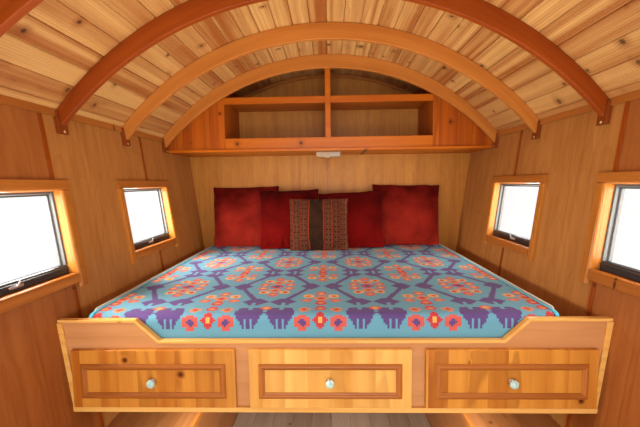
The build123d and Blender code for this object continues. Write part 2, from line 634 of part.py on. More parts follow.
def build_drawers():
    front_back = BED_FRONT - DRAWER_CLOSING_GAP
    front_face = front_back - DRAWER_FRONT_THICK
    front_base = FRONT_BASE + DRAWER_FRONT_LIFT
    front_top = front_base + DRAWER_FRONT_HEIGHT
    box_base = FRONT_BASE + DRAWER_BOX_LIFT
    box_top = box_base + DRAWER_BOX_HEIGHT
    for name, x, width in drawer_table():
        half = width / 2
        panel = block(x - half, x + half, front_face, front_back, front_base, front_top)
        bead = block(x - half + PANEL_MARGIN_SIDE, x + half - PANEL_MARGIN_SIDE,
                     front_face - PANEL_BEAD_THICK, front_face,
                     front_base + PANEL_MARGIN_BOTTOM, front_top - PANEL_MARGIN_TOP)
        field = block(x - half + PANEL_MARGIN_SIDE + PANEL_BEAD_WIDTH,
                      x + half - PANEL_MARGIN_SIDE - PANEL_BEAD_WIDTH,
                      front_face - 2 * PANEL_BEAD_THICK, front_face,
                      front_base + PANEL_MARGIN_BOTTOM + PANEL_BEAD_WIDTH,
                      front_top - PANEL_MARGIN_TOP - PANEL_BEAD_WIDTH)
        bead -= field
        bead = chamfer(bead.faces().sort_by(Axis.Y)[0].edges(), PANEL_BEAD_THICK / 2)
        save(f"drawer_front_{name}", panel + bead)

        box_half = half - DRAWER_OVERLAP - DRAWER_SIDE_GAP
        box = block(x - box_half, x + box_half, front_back, front_back + DRAWER_BOX_LENGTH,
                    box_base, box_top)
        box -= block(x - box_half + DRAWER_SIDE, x + box_half - DRAWER_SIDE,
                     front_back + DRAWER_SIDE, front_back + DRAWER_BOX_LENGTH - DRAWER_SIDE,
                     box_base + DRAWER_BOTTOM, box_top + 1)
        save(f"drawer_box_{name}", box)

        knob_z = (front_base + PANEL_MARGIN_BOTTOM + front_top - PANEL_MARGIN_TOP) / 2
        neck = Cylinder(KNOB_NECK_RADIUS, KNOB_NECK_LENGTH, align=(Align.CENTER, Align.CENTER, Align.MIN))
        bulb_length = KNOB_LENGTH - KNOB_NECK_LENGTH
        bulb = Pos(0, 0, KNOB_NECK_LENGTH) * Cylinder(KNOB_RADIUS, bulb_length,
                                                      align=(Align.CENTER, Align.CENTER, Align.MIN))
        bulb = chamfer(bulb.edges(), bulb_length / 3)
        save(f"drawer_knob_{name}", Pos(x, front_face, knob_z) * Rot(90, 0, 0) * (neck + bulb))


def pillow(width, height):
    """Cushion, thickest in the middle, upright in the XZ plane about the origin."""
    edge = CUSHION_EDGE / 2
    belly = CUSHION_THICK / 2

    def lens(size):
        half = size / 2
        sides = [
            ThreePointArc((-half, edge), (0, belly), (half, edge)),
            Line((half, edge), (half, -edge)),
            ThreePointArc((half, -edge), (0, -belly), (-half, -edge)),
            Line((-half, -edge), (-half, edge)),
        ]
        return extrude(make_face(sides), amount=max(width, height), both=True)

    return lens(width) & (Rot(0, 90, 0) * lens(height))


def bed_block(grow, base, back):
    """The mattress's own shape, grown by that much at the top, the ends and the front."""
    half = MATTRESS_LENGTH / 2 + grow
    front = MATTRESS_FRONT - grow
    shape = block(MATTRESS_SHIFT - half, MATTRESS_SHIFT + half, front, back,
                  base, MATTRESS_BASE + MATTRESS_THICK + grow)
    shape = fillet(shape.edges().filter_by(Axis.Z).group_by(Axis.Y)[0], MATTRESS_CORNER + grow)
    top_front = shape.faces().sort_by(Axis.Y)[0].edges().sort_by(Axis.Z)[-1]
    return fillet(top_front, MATTRESS_ROLL + grow)


def build_bedding():
    save("mattress", bed_block(0, MATTRESS_BASE, MATTRESS_BACK))

    # The blanket is a thin cap over the mattress, open at its back edge.
    base = MATTRESS_BASE + MATTRESS_THICK - BLANKET_DROP
    blanket = bed_block(BLANKET_GAP + BLANKET_THICK, base, MATTRESS_BACK)
    blanket -= bed_block(BLANKET_GAP, base - 1, MATTRESS_BACK + 1)
    save("blanket", blanket)

    # Name, middle along the bed, distance in front of the end wall, width, height
    table = [
        ("outer_left", -675, 0, OUTER_CUSHION_SIZE, OUTER_CUSHION_HEIGHT),
        ("outer_right", 617, 0, OUTER_CUSHION_SIZE, OUTER_CUSHION_HEIGHT),
        ("inner_left", -311, 130, LEFT_CUSHION_SIZE, LEFT_CUSHION_HEIGHT),
        ("inner_right", 174, 130, RIGHT_CUSHION_SIZE, RIGHT_CUSHION_HEIGHT),
        ("centre", -76, 226, CENTRE_CUSHION_SIZE, CENTRE_CUSHION_HEIGHT),
    ]
    for name, x, gap, width, height in table:
        cushion = Rot(-CUSHION_LEAN, 0, 0) * pillow(width, height)
        bounds = cushion.bounding_box()
        y = END_FACE - SEAT - gap - bounds.max.Y
        z = BLANKET_TOP + SEAT - bounds.min.Z
        save(f"cushion_{name}", Pos(x, y, z) * cushion)


os.makedirs("parts", exist_ok=True)
build_floor()
build_ledges()
build_walls()
build_battens()
build_windows()
build_roof()
build_ribs()
build_cupboard()
build_bed_front()
build_bed_frame()
build_drawers()
build_bedding()
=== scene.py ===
import math
import random

import bmesh
import bpy
from mathutils import Euler, Matrix, Vector, noise


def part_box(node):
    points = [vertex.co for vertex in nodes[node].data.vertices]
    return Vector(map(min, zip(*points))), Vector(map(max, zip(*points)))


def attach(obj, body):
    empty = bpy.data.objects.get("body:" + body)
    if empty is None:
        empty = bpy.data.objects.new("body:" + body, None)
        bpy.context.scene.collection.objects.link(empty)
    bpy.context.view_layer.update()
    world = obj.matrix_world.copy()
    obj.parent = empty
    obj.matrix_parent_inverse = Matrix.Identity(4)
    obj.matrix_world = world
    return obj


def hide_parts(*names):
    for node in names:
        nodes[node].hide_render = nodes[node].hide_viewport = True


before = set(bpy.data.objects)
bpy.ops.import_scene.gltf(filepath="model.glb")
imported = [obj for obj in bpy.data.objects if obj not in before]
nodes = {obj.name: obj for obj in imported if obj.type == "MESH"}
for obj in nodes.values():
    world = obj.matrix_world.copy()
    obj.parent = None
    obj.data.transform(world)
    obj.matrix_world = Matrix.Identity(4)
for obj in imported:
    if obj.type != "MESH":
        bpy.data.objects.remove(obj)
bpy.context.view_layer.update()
scene = bpy.context.scene
print("frame loaded:", len(nodes), "nodes")

# The bay's main planes and curves, in metres, read from the frame where it shows them.
bay = {
    "openEnd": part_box("floor_frame")[0].y,
    "endFace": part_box("end_wall")[0].y,
    "endOutside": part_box("end_wall")[1].y,
    "roofEnd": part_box("roof_boards")[1].y,
    "floorTop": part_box("floor_boards")[1].z,
    "ledgeTop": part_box("side_wall_right")[0].z,
    "wallFoot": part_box("side_wall_right")[0].x,
    "wallLean": 0.13,
    "wallThick": 0.055,
    "ridge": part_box("roof_rib_1")[1].z,
    "roofRadius": 1.502,
}
bay["roofCentre"] = bay["ridge"] - bay["roofRadius"]


def wallFace(z):
    return bay["wallFoot"] + bay["wallLean"] * (z - bay["ledgeTop"])


def wallOutside(z):
    return wallFace(z) + bay["wallThick"] / math.cos(math.atan(bay["wallLean"]))


def roofHeight(x):
    return bay["roofCentre"] + math.sqrt(bay["roofRadius"] ** 2 - x * x)


# Camera

shot = {
    "place": (0.0064, -1.8451, 1.6090),
    "lens": 20.56,
    "turn": 1.558,     # degrees to the left of straight along the bay
    "tilt": 4.835,     # degrees down
    "roll": -0.769,
}


def makeCamera():
    data = bpy.data.cameras.new("camera")
    data.lens = shot["lens"]
    data.sensor_width = 36
    data.clip_start = 0.01
    camera = bpy.data.objects.new("camera", data)
    scene.collection.objects.link(camera)
    aim = Euler((math.radians(90 - shot["tilt"]), 0, math.radians(shot["turn"]))).to_matrix()
    roll = Matrix.Rotation(math.radians(shot["roll"]), 3, "Z")
    camera.matrix_world = Matrix.Translation(shot["place"]) @ (aim @ roll).to_4x4()
    scene.camera = camera


makeCamera()
print("camera set")


# Shader maths: a wire is a socket's value, and expressions on wires add Math nodes.

def operator(operation, swapped=False):
    # what an operator does with wires and numbers: it adds a Math node
    def run(wire, *others):
        values = [*others, wire] if swapped else [wire, *others]
        return wire.finish.node("Math", {"operation": operation}, dict(enumerate(values)))
    return run


class Wire:
    def __init__(self, finish, socket):
        self.finish = finish
        self.socket = socket

    __add__ = __radd__ = operator("ADD")
    __sub__ = operator("SUBTRACT")
    __rsub__ = operator("SUBTRACT", swapped=True)
    __mul__ = __rmul__ = operator("MULTIPLY")
    __truediv__ = operator("DIVIDE")
    __rtruediv__ = operator("DIVIDE", swapped=True)
    __mod__ = operator("FLOORED_MODULO")
    __pow__ = operator("POWER")
    __lt__ = operator("LESS_THAN")
    __gt__ = operator("GREATER_THAN")
    __abs__ = operator("ABSOLUTE")
    sine = operator("SINE")
    floor = operator("FLOOR")
    least = operator("MINIMUM")
    most = operator("MAXIMUM")
    bearing = operator("ARCTAN2")

    def other(self, name):
        # another output of the same node
        return Wire(self.finish, self.socket.node.outputs[name])

    def held(self):
        # kept within 0 and 1
        return self.finish.node("Math", {"operation": "MULTIPLY", "use_clamp": True}, {0: self, 1: 1})

    def stepped(self, step):
        # as a weave counts: the middle of each step
        return ((self / step).floor() + 0.5) * step

    def ramp(self, low, high):
        # 0 below low, 1 above high, and smooth between
        settings = {"interpolation_type": "SMOOTHSTEP"}
        return self.finish.node("MapRange", settings, {"Value": self, "From Min": low, "From Max": high})


class Nodes:
    # a tree of shader nodes, of a material or of the world
    def __init__(self, tree):
        self.tree = tree

    def node(self, kind, settings=None, values=None, out=0):
        made = self.tree.nodes.new("ShaderNode" + kind)
        for key, value in (settings or {}).items():
            setattr(made, key, value)
        for key, value in (values or {}).items():
            self.feed(made.inputs[key], value)
        return Wire(self, made.outputs[out])

    def feed(self, socket, value):
        if isinstance(value, Wire):
            self.tree.links.new(value.socket, socket)
        else:
            socket.default_value = value

    def seen(self):
        # 1 on what the camera sees, also in gloss and through glass
        path = self.node("LightPath", out="Is Camera Ray")
        return path.most(path.other("Is Glossy Ray")).most(path.other("Is Transmission Ray"))


class Finish(Nodes):
    def __init__(self, name, **sockets):
        self.material = bpy.data.materials.new(name)
        self.material.use_nodes = True
        super().__init__(self.material.node_tree)
        self.shader = self.tree.nodes["Principled BSDF"]
        for socket, value in sockets.items():
            self.shader.inputs[socket.replace("_", " ")].default_value = value

    def point(self):
        return self.node("TexCoord", out="Object")

    def parts(self, vector):
        x = self.node("SeparateXYZ", {}, {0: vector})
        return x, x.other("Y"), x.other("Z")

    def place(self):
        return self.parts(self.point())

    def cloth(self):
        # a cloth's own measures, across and up, as it was cut
        return self.parts(self.node("Attribute", {"attribute_name": "cloth"}, {}, out="Vector"))[:2]

    def dice(self, colour):
        # three chance numbers out of a colour
        red = self.node("SeparateColor", {}, {0: colour})
        return red, red.other("Green"), red.other("Blue")

    def join(self, x, y, z):
        return self.node("CombineXYZ", {}, {0: x, 1: y, 2: z})

    def cloud(self, spot, scale, detail=2.0, rough=0.5):
        values = {"Vector": spot, "Scale": scale, "Detail": detail, "Roughness": rough}
        return self.node("TexNoise", {}, values)

    def mix(self, share, low, high, way="MIX"):
        settings = {"data_type": "RGBA", "blend_type": way}
        return self.node("Mix", settings, {0: share, 6: low, 7: high}, out=2)

    def paint(self, colour=None, roughness=None, height=None, strength=0.2, depth=0.001, **more):
        for key, value in {"Base Color": colour, "Roughness": roughness, **more}.items():
            if value is not None:
                self.feed(self.shader.inputs[key], value)
        if height is not None:
            bump = self.node("Bump", {}, {"Height": height, "Strength": strength, "Distance": depth})
            self.feed(self.shader.inputs["Normal"], bump)
        return self.material


def tone(code):
    # a colour written as six hex digits, for a shader
    parts = [int(code[i:i + 2], 16) / 255 for i in (1, 3, 5)]
    return tuple(p / 12.92 if p <= 0.04045 else ((p + 0.055) / 1.055) ** 2.4 for p in parts) + (1,)


# Wood. Along, across and through follow the grain of the board.

plainWood = {
    "run": "cross", "gloss": 0.34,
    "stave": 0,         # width of the staves that make up a board
    "spread": 0.4,      # how much boards and staves differ
    "rings": 0.008, "lines": 0.3, "swirl": 1.0,      # growth rings: width, strength, waviness
    "knots": 0.0, "knotSize": 0.008, "burn": 0.3,    # share of the spots with a knot, radius, dark round it
    "sap": 0.0, "bands": 13.0, "bandDetail": 1.0,    # paler streaks: strength, number in a metre, detail
}


def wood(pale, deep, line, knot, **own):
    # a wood's four colours, and what it has that plain wood doesn't
    return {"pale": pale, "deep": deep, "line": line, "knot": knot, **plainWood, **own}


woods = {
    "ceilingPine": wood(
        "#DBA761", "#9F5925", "#824016", "#2E1008", run="ceiling", spread=0.7, rings=0.0075, lines=0.42,
        knots=0.34, knotSize=0.0125, gloss=0.42, sap=2.3, swirl=0.5, burn=0.5, bands=27.0, bandDetail=2.0),
    "ribLaminate": wood(
        "#C87D34", "#A95C1E", "#894111", "#6E2E10", run="bow", rings=0.012),
    "ribDark": wood(
        "#A44C12", "#843509", "#6C2907", "#5A220A", run="bow", rings=0.012),
    "wallPly": wood(
        "#BD7F3F", "#A0632B", "#7C3E10", "#5A2A0E", run="wall", spread=0, rings=0.03, lines=0.22,
        gloss=0.44, streak=0.45, veneer=2.3, seam=-0.377, nearPale="#AE6930", nearDeep="#8B491D"),
    "endPly": wood(
        "#C88535", "#A46322", "#804314", "#5A2A0E", run="upright", spread=0, rings=0.03, lines=0.2,
        gloss=0.44, streak=0.5, veneer=2.6),
    "bedPly": wood(
        "#D0925C", "#B87844", "#9C5E2A", "#6E3816", rings=0.018, lines=0.22, gloss=0.36),
    "trimPine": wood(
        "#F4C172", "#DE9C48", "#B26E25", "#6A3010", spread=0.5, rings=0.009, lines=0.34, knots=0.1,
        gloss=0.3),
    "drawerPine": wood(
        "#D88F38", "#AE5E1A", "#84400E", "#4A1C08", run="upright", stave=0.074, spread=0.55, rings=0.0042,
        lines=0.55, knots=0.2, knotSize=0.0095, sap=1.3, swirl=0.16, burn=0.75),
    # the middle drawer's pine has staves and knots of its own, and paler colours that are painted light, for
    # the light falling on the middle of the bed
    "drawerPalePine": wood(
        "#F0B45E", "#D08A34", "#A8621E", "#5A2810", run="upright", stave=0.086, spread=0.5, rings=0.0044,
        lines=0.45, knots=0.16, knotSize=0.009, sap=0.9, swirl=0.16, burn=0.55),
    # the moulding's darker brown is partly its own wood and partly painted shade, for the shade of a hollow
    # moulding
    "beadPine": wood(
        "#B4692C", "#8E4A1A", "#743A10", "#5E2A10", gloss=0.28),
    "cupboardPine": wood(
        "#CE6E0B", "#A44A03", "#854003", "#421A08", spread=0.5, rings=0.006, lines=0.45, knots=0.24,
        knotSize=0.011, sap=0.9, swirl=0.3, burn=0.5),
    "cornerPine": wood(
        "#BC5E0D", "#903B05", "#703004", "#3A1606", run="upright", stave=0.064, spread=0.5, rings=0.0046,
        lines=0.6, knots=0.24, knotSize=0.01, gloss=0.36, sap=1.0, swirl=0.2, burn=0.6),
    "battenPine": wood(
        "#9B460E", "#7A3406", "#602505", "#4A200A", run="wall", knots=0.08, knotSize=0.006, gloss=0.32),
    "lengthPine": wood(
        "#C47A36", "#9E5A22", "#824416", "#4A200A", run="length", knots=0.08, knotSize=0.006, gloss=0.32),
    "ledgeWood": wood(
        "#B87A44", "#96592A", "#603416", "#40200E", run="length", stave=0.21, rings=0.012, knots=0.06,
        knotSize=0.01, gloss=0.36),
    "floorWood": wood(
        "#BFA48A", "#987C62", "#7A6048", "#4A3524", run="length", spread=0.9, rings=0.01, lines=0.34,
        knots=0.14, knotSize=0.01, gloss=0.52),
    "cheekWood": wood(
        "#8C4114", "#6E2E0B", "#5A2408", "#4A1C08", run="wall"),
    "footWood": wood(
        "#7E3814", "#5E260B", "#4A1C08", "#331206", run="wall"),
    "casingLength": wood(
        "#BE7430", "#94501A", "#8E4E14", "#421A08", run="length", lines=0.34, knots=0.14, knotSize=0.007,
        gloss=0.28),
    "casingUpright": wood(
        "#C87E30", "#A05C1C", "#8E4E14", "#421A08", run="wall", lines=0.34, knots=0.14, knotSize=0.007,
        gloss=0.28),
    # the same darker brown, partly painted shade of a hollow moulding
    "beadUpright": wood(
        "#B4692C", "#8E4A1A", "#743A10", "#5E2A10", run="upright", gloss=0.28),
    "outerPaint": wood(
        "#8A5A34", "#6E4224", "#5A3318", "#3A1E0E", run="upright", spread=0.8, rings=0.01, lines=0.4,
        knots=0.12, knotSize=0.01, gloss=0.5),
    "innerPine": wood(
        "#DDBB88", "#C0935E", "#A67846", "#6A3A1C", spread=0.5, rings=0.01, knots=0.12, knotSize=0.009,
        gloss=0.5),
}


def runOf(finish, run):
    x, y, z = finish.place()
    if run in ("ceiling", "bow"):
        rise = z - bay["roofCentre"]
        reach = (x * x + rise * rise) ** 0.5
        bend = x.bearing(rise) * bay["roofRadius"]
        return (y, bend, reach) if run == "ceiling" else (bend, reach, y)
    return {"cross": (x, z, y), "length": (y, x, z), "upright": (z, x, y), "wall": (z, y, x)}[run]


def makeWood(name, look, seed):
    finish = Finish(name, Coat_Weight=0.05, Coat_Roughness=0.25, Specular_IOR_Level=0.15)
    along, across, through = runOf(finish, look["run"])
    # Each stave or plank has its own chance number, and its own stretch of grain.
    if look["stave"]:
        count = (across / look["stave"] + 50).floor()
        local = across - (count - 50) * look["stave"] - look["stave"] / 2
    else:
        count = finish.node("Attribute", {"attribute_name": "plank"}, {}, out="Fac") * 97
        local = across
    chance = finish.node("TexWhiteNoise", {"noise_dimensions": "1D"}, {"W": count + seed})
    shift, swing, depth = finish.dice(chance.other("Color"))
    slide = along + shift * 9.0
    wobble = finish.cloud(finish.join(slide * 1.1, local * 5.0, through * 5.0), 1.6, 2.0) - 0.5

    # Knots: a few of the cells hold one, and the rings swing round it.
    cell = look["knotSize"] * 14
    spot = finish.join(slide, local + swing * 3.0, 0.0)
    values = {"Vector": spot, "Scale": 1 / cell, "Randomness": 0.9}
    knots = finish.node("TexVoronoi", {"voronoi_dimensions": "2D"}, values)
    draw, large, _ = finish.dice(knots.other("Color"))
    held = draw < look["knots"]
    size = (large * 0.7 + 0.45) * look["knotSize"]
    away = knots * cell
    inKnot = (1 - (away + wobble * 0.006).ramp(size * 0.75, size * 1.1)) * held
    nearKnot = (1 - away.ramp(size * 0.9, size * 3.6)) * held

    # Growth rings about a pith line behind the face
    side = local - (swing - 0.5) * 0.12
    deep = through % 10.0 * 0.6 + 0.02 + depth * 0.05
    radius = (side * side + deep * deep) ** 0.5 + wobble * 0.035 * look["swirl"] + nearKnot * 0.004
    if "veneer" in look:
        # peeled sheets show broad flames, each sheet its own
        sheet = finish.join(along * 0.55, across * look["veneer"], seed * 3.0)
        radius = finish.cloud(sheet, 1.0, 3.0, 0.6) * 0.6 + across * 0.10
    phase = (radius / look["rings"]) % 1.0
    latewood = phase ** 3.0 * (1 - phase.ramp(0.93, 1.0))
    broad = finish.cloud(finish.join(slide * 0.7, local * 9.0, through * 9.0), 2.2, 3.0)
    fibre = finish.cloud(finish.join(slide * 9.0, local * 420.0, through * 420.0), 1.0, 2.0, 0.6)
    streak = finish.join(slide * 0.22, local * look["bands"], swing * 7.0)
    band = (finish.cloud(streak, 1.0, look["bandDetail"]) - 0.5) * look["sap"]

    share = (broad - 0.5) * 1.3 + (chance - 0.5) * look["spread"] + 0.5 + (fibre - 0.5) * 0.35 + band
    pale, dark = tone(look["pale"]), tone(look["deep"])
    if "seam" in look:
        # the sheet in front of the seam has a colour of its own
        near = across < look["seam"]
        pale = finish.mix(near, pale, tone(look["nearPale"]))
        dark = finish.mix(near, dark, tone(look["nearDeep"]))
    colour = finish.mix(share.held(), pale, dark)
    lines = (latewood * look["lines"] + nearKnot * look["burn"]).held()
    colour = finish.mix(lines, colour, tone(look["line"]))
    if "streak" in look:
        streaks = finish.cloud(finish.join(along * 0.8, across * 46.0, 2.0), 1.0, 3.0, 0.65)
        patch = finish.cloud(finish.join(along * 0.6, across * 1.4, 5.0), 1.0, 1.0).ramp(0.40, 0.62)
        colour = finish.mix(streaks.ramp(0.50, 0.74) * patch * look["streak"], colour, tone(look["line"]))
    ringed = ((away / 0.0016).sine() * 0.5 + 0.5) * 0.3 + 0.7
    colour = finish.mix((inKnot * ringed).held(), colour, tone(look["knot"]))
    rough = fibre * 0.16 + look["gloss"] - 0.06 + inKnot * 0.1
    height = fibre * 0.35 + latewood * 0.25 - inKnot * 0.5
    return finish.paint(colour, rough, height, strength=0.16, depth=0.0012)


finishes = {name: makeWood(name, look, seed=i) for i, (name, look) in enumerate(woods.items())}
print("woods made:", len(finishes))


# Meshes

def makePiece(name, points, faces, finish=None, smooth=False):
    mesh = bpy.data.meshes.new(name)
    mesh.from_pydata([tuple(p) for p in points], [], faces)
    mesh.update()
    if smooth:
        mesh.shade_smooth()
    if finish is not None:
        mesh.materials.append(finish)
    piece = bpy.data.objects.new(name, mesh)
    scene.collection.objects.link(piece)
    return piece


def mark(piece, name, kind, field, values):
    # gives each point of a piece a value that its finish reads
    piece.data.attributes.new(name, kind, "POINT").data.foreach_set(field, values)


def dress(piece, *colours):
    # gives a piece its finishes in place of what it has
    piece.data.materials.clear()
    for finish in colours:
        piece.data.materials.append(finish)


def settle(piece):
    # takes the modifiers' result as the piece's own mesh
    bpy.context.view_layer.update()
    graph = bpy.context.evaluated_depsgraph_get()
    mesh = bpy.data.meshes.new_from_object(piece.evaluated_get(graph))
    piece.modifiers.clear()
    piece.data = mesh
    return piece


def ease(piece, width, segments=2, limit=30):
    # rounds the sharp edges
    bevel = piece.modifiers.new("edges", "BEVEL")
    bevel.width = width
    bevel.segments = segments
    bevel.limit_method = "ANGLE"
    bevel.angle_limit = math.radians(limit)
    bevel.harden_normals = True
    piece.data.shade_smooth()
    return settle(piece)


def fit(piece, body="bay", replaces=()):
    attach(piece, body)
    if replaces:
        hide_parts(*replaces)
    return piece


def camel(words):
    first, *others = words.split("_")
    return first + "".join(w.capitalize() for w in others)


def softened(node, finish, edge, limit=30):
    # the node's own shape with eased edges
    shape = bmesh.new()
    shape.from_mesh(nodes[node].data)
    bmesh.ops.remove_doubles(shape, verts=shape.verts, dist=0.00002)
    bmesh.ops.dissolve_limit(shape, angle_limit=0.01, verts=shape.verts, edges=shape.edges)
    points = [v.co.copy() for v in shape.verts]
    shape.verts.index_update()
    faces = [[v.index for v in f.verts] for f in shape.faces]
    shape.free()
    return ease(makePiece(camel(node), points, faces, finish), edge, limit=limit)


def boxMesh(low, high):
    points = [(x, y, z) for x in (low[0], high[0]) for y in (low[1], high[1]) for z in (low[2], high[2])]
    faces = [(0, 1, 3, 2), (4, 6, 7, 5), (0, 4, 5, 1), (2, 3, 7, 6), (0, 2, 6, 4), (1, 5, 7, 3)]
    return points, faces


def gridFaces(columns, rows):
    starts = [j * (columns + 1) + i for j in range(rows) for i in range(columns)]
    return [(a, a + 1, a + columns + 2, a + columns + 1) for a in starts]


def barrelFaces(rings, sides):
    # rings of points joined to a barrel with both ends closed
    faces = []
    for i in range(rings - 1):
        for k in range(sides):
            a, b = i * sides + k, i * sides + (k + 1) % sides
            faces.append((a, b, b + sides, a + sides))
    return [*faces, list(range(sides))[::-1], [(rings - 1) * sides + k for k in range(sides)]]


def circle(sides):
    return [(math.cos(a), math.sin(a)) for a in (2 * math.pi * k / sides for k in range(sides))]


def lathe(name, profile, sides, spot, finish, smooth=True):
    # turns a profile of (distance, radius) pairs about the placed x axis
    points = [spot @ Vector((distance, radius * c, radius * s)) for distance, radius in profile
              for c, s in circle(sides)]
    return makePiece(name, points, barrelFaces(len(profile), sides), finish, smooth)


def alongBay(outline, start, end):
    # an (x, z) outline at both ends of a length of the bay
    return [[(x, y, z) for x, z in outline] for y in (start, end)]


def placed(sections, spot):
    return [[[tuple(spot @ Vector(p)) for p in ring] for ring in rings] for rings in sections]


def prisms(name, sections, finish=None, planks=None):
    # joins prisms, each given by two like outlines, one at each end; planks marks each with a number
    points, faces, marks = [], [], []
    for number, (first, last) in enumerate(sections):
        start, n = len(points), len(first)
        points += list(first) + list(last)
        faces.append([start + i for i in reversed(range(n))])
        faces.append([start + n + i for i in range(n)])
        for i in range(n):
            a, b = start + i, start + (i + 1) % n
            faces.append([a, b, b + n, a + n])
        marks += [planks[number] if planks else 0.0] * (2 * n)
    piece = makePiece(name, points, faces, finish)
    if planks:
        mark(piece, "plank", "FLOAT", "value", marks)
    fix = bmesh.new()
    fix.from_mesh(piece.data)
    bmesh.ops.recalc_face_normals(fix, faces=fix.faces)
    fix.to_mesh(piece.data)
    fix.free()
    return piece


def joined(name, pieces):
    # several meshes as one piece, each keeping its finish
    shape = bmesh.new()
    mesh = bpy.data.meshes.new(name)
    for piece in pieces:
        finish = piece.data.materials[0]
        if finish.name not in mesh.materials:
            mesh.materials.append(finish)
        number = mesh.materials.find(finish.name)
        start = len(shape.faces)
        shape.from_mesh(piece.data)
        shape.faces.ensure_lookup_table()
        for face in shape.faces[start:]:
            face.material_index = number
        bpy.data.objects.remove(piece)
    bmesh.ops.recalc_face_normals(shape, faces=shape.faces)
    shape.to_mesh(mesh)
    shape.free()
    whole = bpy.data.objects.new(name, mesh)
    scene.collection.objects.link(whole)
    return whole


# Roof

roofLook = {
    "plankWidth": 0.092, "plankThick": 0.0195, "joint": 0.0006, "chamfer": 0.0028,
    "eaveThick": 0.02, "seed": 5,
}


def makeCeiling():
    look = roofLook
    draw = random.Random(look["seed"])
    halfAngle = math.asin(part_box("roof_boards")[1].x / (bay["roofRadius"] + look["eaveThick"]))
    count = round(2 * halfAngle * bay["roofRadius"] / look["plankWidth"])
    step = 2 * halfAngle / count
    inner = bay["roofRadius"] / math.cos(step / 2)
    outer = bay["roofRadius"] + look["plankThick"]
    cut = inner + look["chamfer"]
    bevel = look["chamfer"] / inner
    sections, planks = [], []
    for n in range(count):
        start = -halfAngle + n * step + look["joint"] / inner
        end = -halfAngle + (n + 1) * step - look["joint"] / inner
        turns = [(start, cut), (start + bevel, inner), (end - bevel, inner), (end, cut),
                 (end, outer), (start, outer)]
        outline = [(r * math.sin(a), bay["roofCentre"] + r * math.cos(a)) for a, r in turns]
        sections.append(alongBay(outline, bay["openEnd"], bay["roofEnd"]))
        planks.append(draw.random())
    boards = prisms("ceilingBoards", sections, finishes["ceilingPine"], planks)
    fit(boards, replaces=["roof_boards"])


def makeFrameWood():
    for n in range(1, 6):
        finish = finishes["ribLaminate" if n < 3 else "ribDark"]
        fit(softened(f"roof_rib_{n}", finish, 0.003), replaces=[f"roof_rib_{n}"])
    plan = {
        "rib_feet": ("cheekWood", "rib_foot_wood", 0.0015),
        "ceiling_mouldings": ("lengthPine", "moulding_wood", 0.002),
        "wall_battens": ("battenPine", "batten_wood", 0.0015),
        "ledges": ("ledgeWood", "ledge_wood", 0.001),
        "ledge_nosings": ("lengthPine", "nosing_wood", 0.001),
        "ledge_brackets": ("footWood", "bracket_wood", 0.003),
        "eave_boards": ("footWood", "bracket_wood", 0.003),
        "floor_frame": ("footWood", "frame_wood", 0.003),
        "lower_walls": ("ledgeWood", "lower_wall_wood", 0.001),
        "cupboard_floor": ("cupboardPine", "cupboard_wood", 0.002),
        "cupboard_rail": ("cupboardPine", "cupboard_wood", 0.0015),
        "cupboard_divider": ("cupboardPine", "cupboard_wood", 0.002),
        "cupboard_shelves": ("cupboardPine", "cupboard_wood", 0.0015),
        "cupboard_corners": ("cornerPine", "cupboard_wood", 0.0015),
        "bed_front": ("bedPly", "bed_wood", 0.0015),
        "bed_capping": ("trimPine", "trim_wood", 0.003),
        "bed_rail": ("trimPine", "trim_wood", 0.002),
    }
    for node, (finish, slot, edge) in plan.items():
        piece = fit(softened(node, finishes[finish], edge), replaces=[node])
        if node == "wall_battens":
            # the strip up the middle of the end wall is of paler wood
            piece.data.materials.append(finishes["lengthPine"])
            for face in piece.data.polygons:
                face.material_index = 1 if abs(face.center.x) < 0.1 else 0


tipLook = {
    "deep": 0.0195, "tall": 0.042, "back": 0.0012, "clear": 0.0006, "edge": 0.0012,
    "plug": 0.0062, "plugUp": 0.0095,
}


def makeRibTips():
    # a block between the cheeks carries each rib down to the foot, with a pale dowel in its face
    look = tipLook
    clear, deep, size = look["clear"], look["deep"], look["plug"]
    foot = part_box("rib_feet")[0].z + clear
    head = foot + look["tall"]
    lean = math.atan(bay["wallLean"])
    dowel = [(-0.004, size), (0.0005, size), (0.0010, size * 0.85), (0.0012, size * 0.5)]
    blocks, dowels = [], []
    for n in range(1, 6):
        near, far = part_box(f"roof_rib_{n}")
        for sign in (-1, 1):
            corners = [(foot, clear), (head, clear), (head, deep), (foot, deep)]
            outline = [(sign * (wallFace(z) - inset), z) for z, inset in corners]
            blocks.append(alongBay(outline, near.y + look["back"], far.y - look["back"]))
            z = foot + look["plugUp"]
            spot = Matrix.Translation((sign * (wallFace(z) - deep), (near.y + far.y) / 2, z))
            spot = spot @ Matrix.Rotation(math.pi + lean if sign > 0 else -lean, 4, "Y")
            dowels.append(lathe("dowel", dowel, 16, spot, finishes["innerPine"]))
    tips = ease(prisms("ribTips", blocks, finishes["cheekWood"]), look["edge"])
    fit(joined("ribTips", [tips, *dowels]))


def dressNodes():
    # these keep their own mesh and only get a finish
    dress(nodes["end_wall"], finishes["endPly"])
    for node in ("side_wall_left", "side_wall_right"):
        dress(nodes[node], finishes["wallPly"])
    boxes = [f"drawer_box_{name}" for name in ("left", "middle", "right")]
    for node in ("bed_deck", "bed_bearers", "drawer_guides", *boxes):
        dress(nodes[node], finishes["innerPine"])


makeCeiling()
print("ceiling made")
makeFrameWood()
print("boards and ribs made")
dressNodes()


# Windows: out is the distance out from the wall's inner face, up runs up the leaning wall

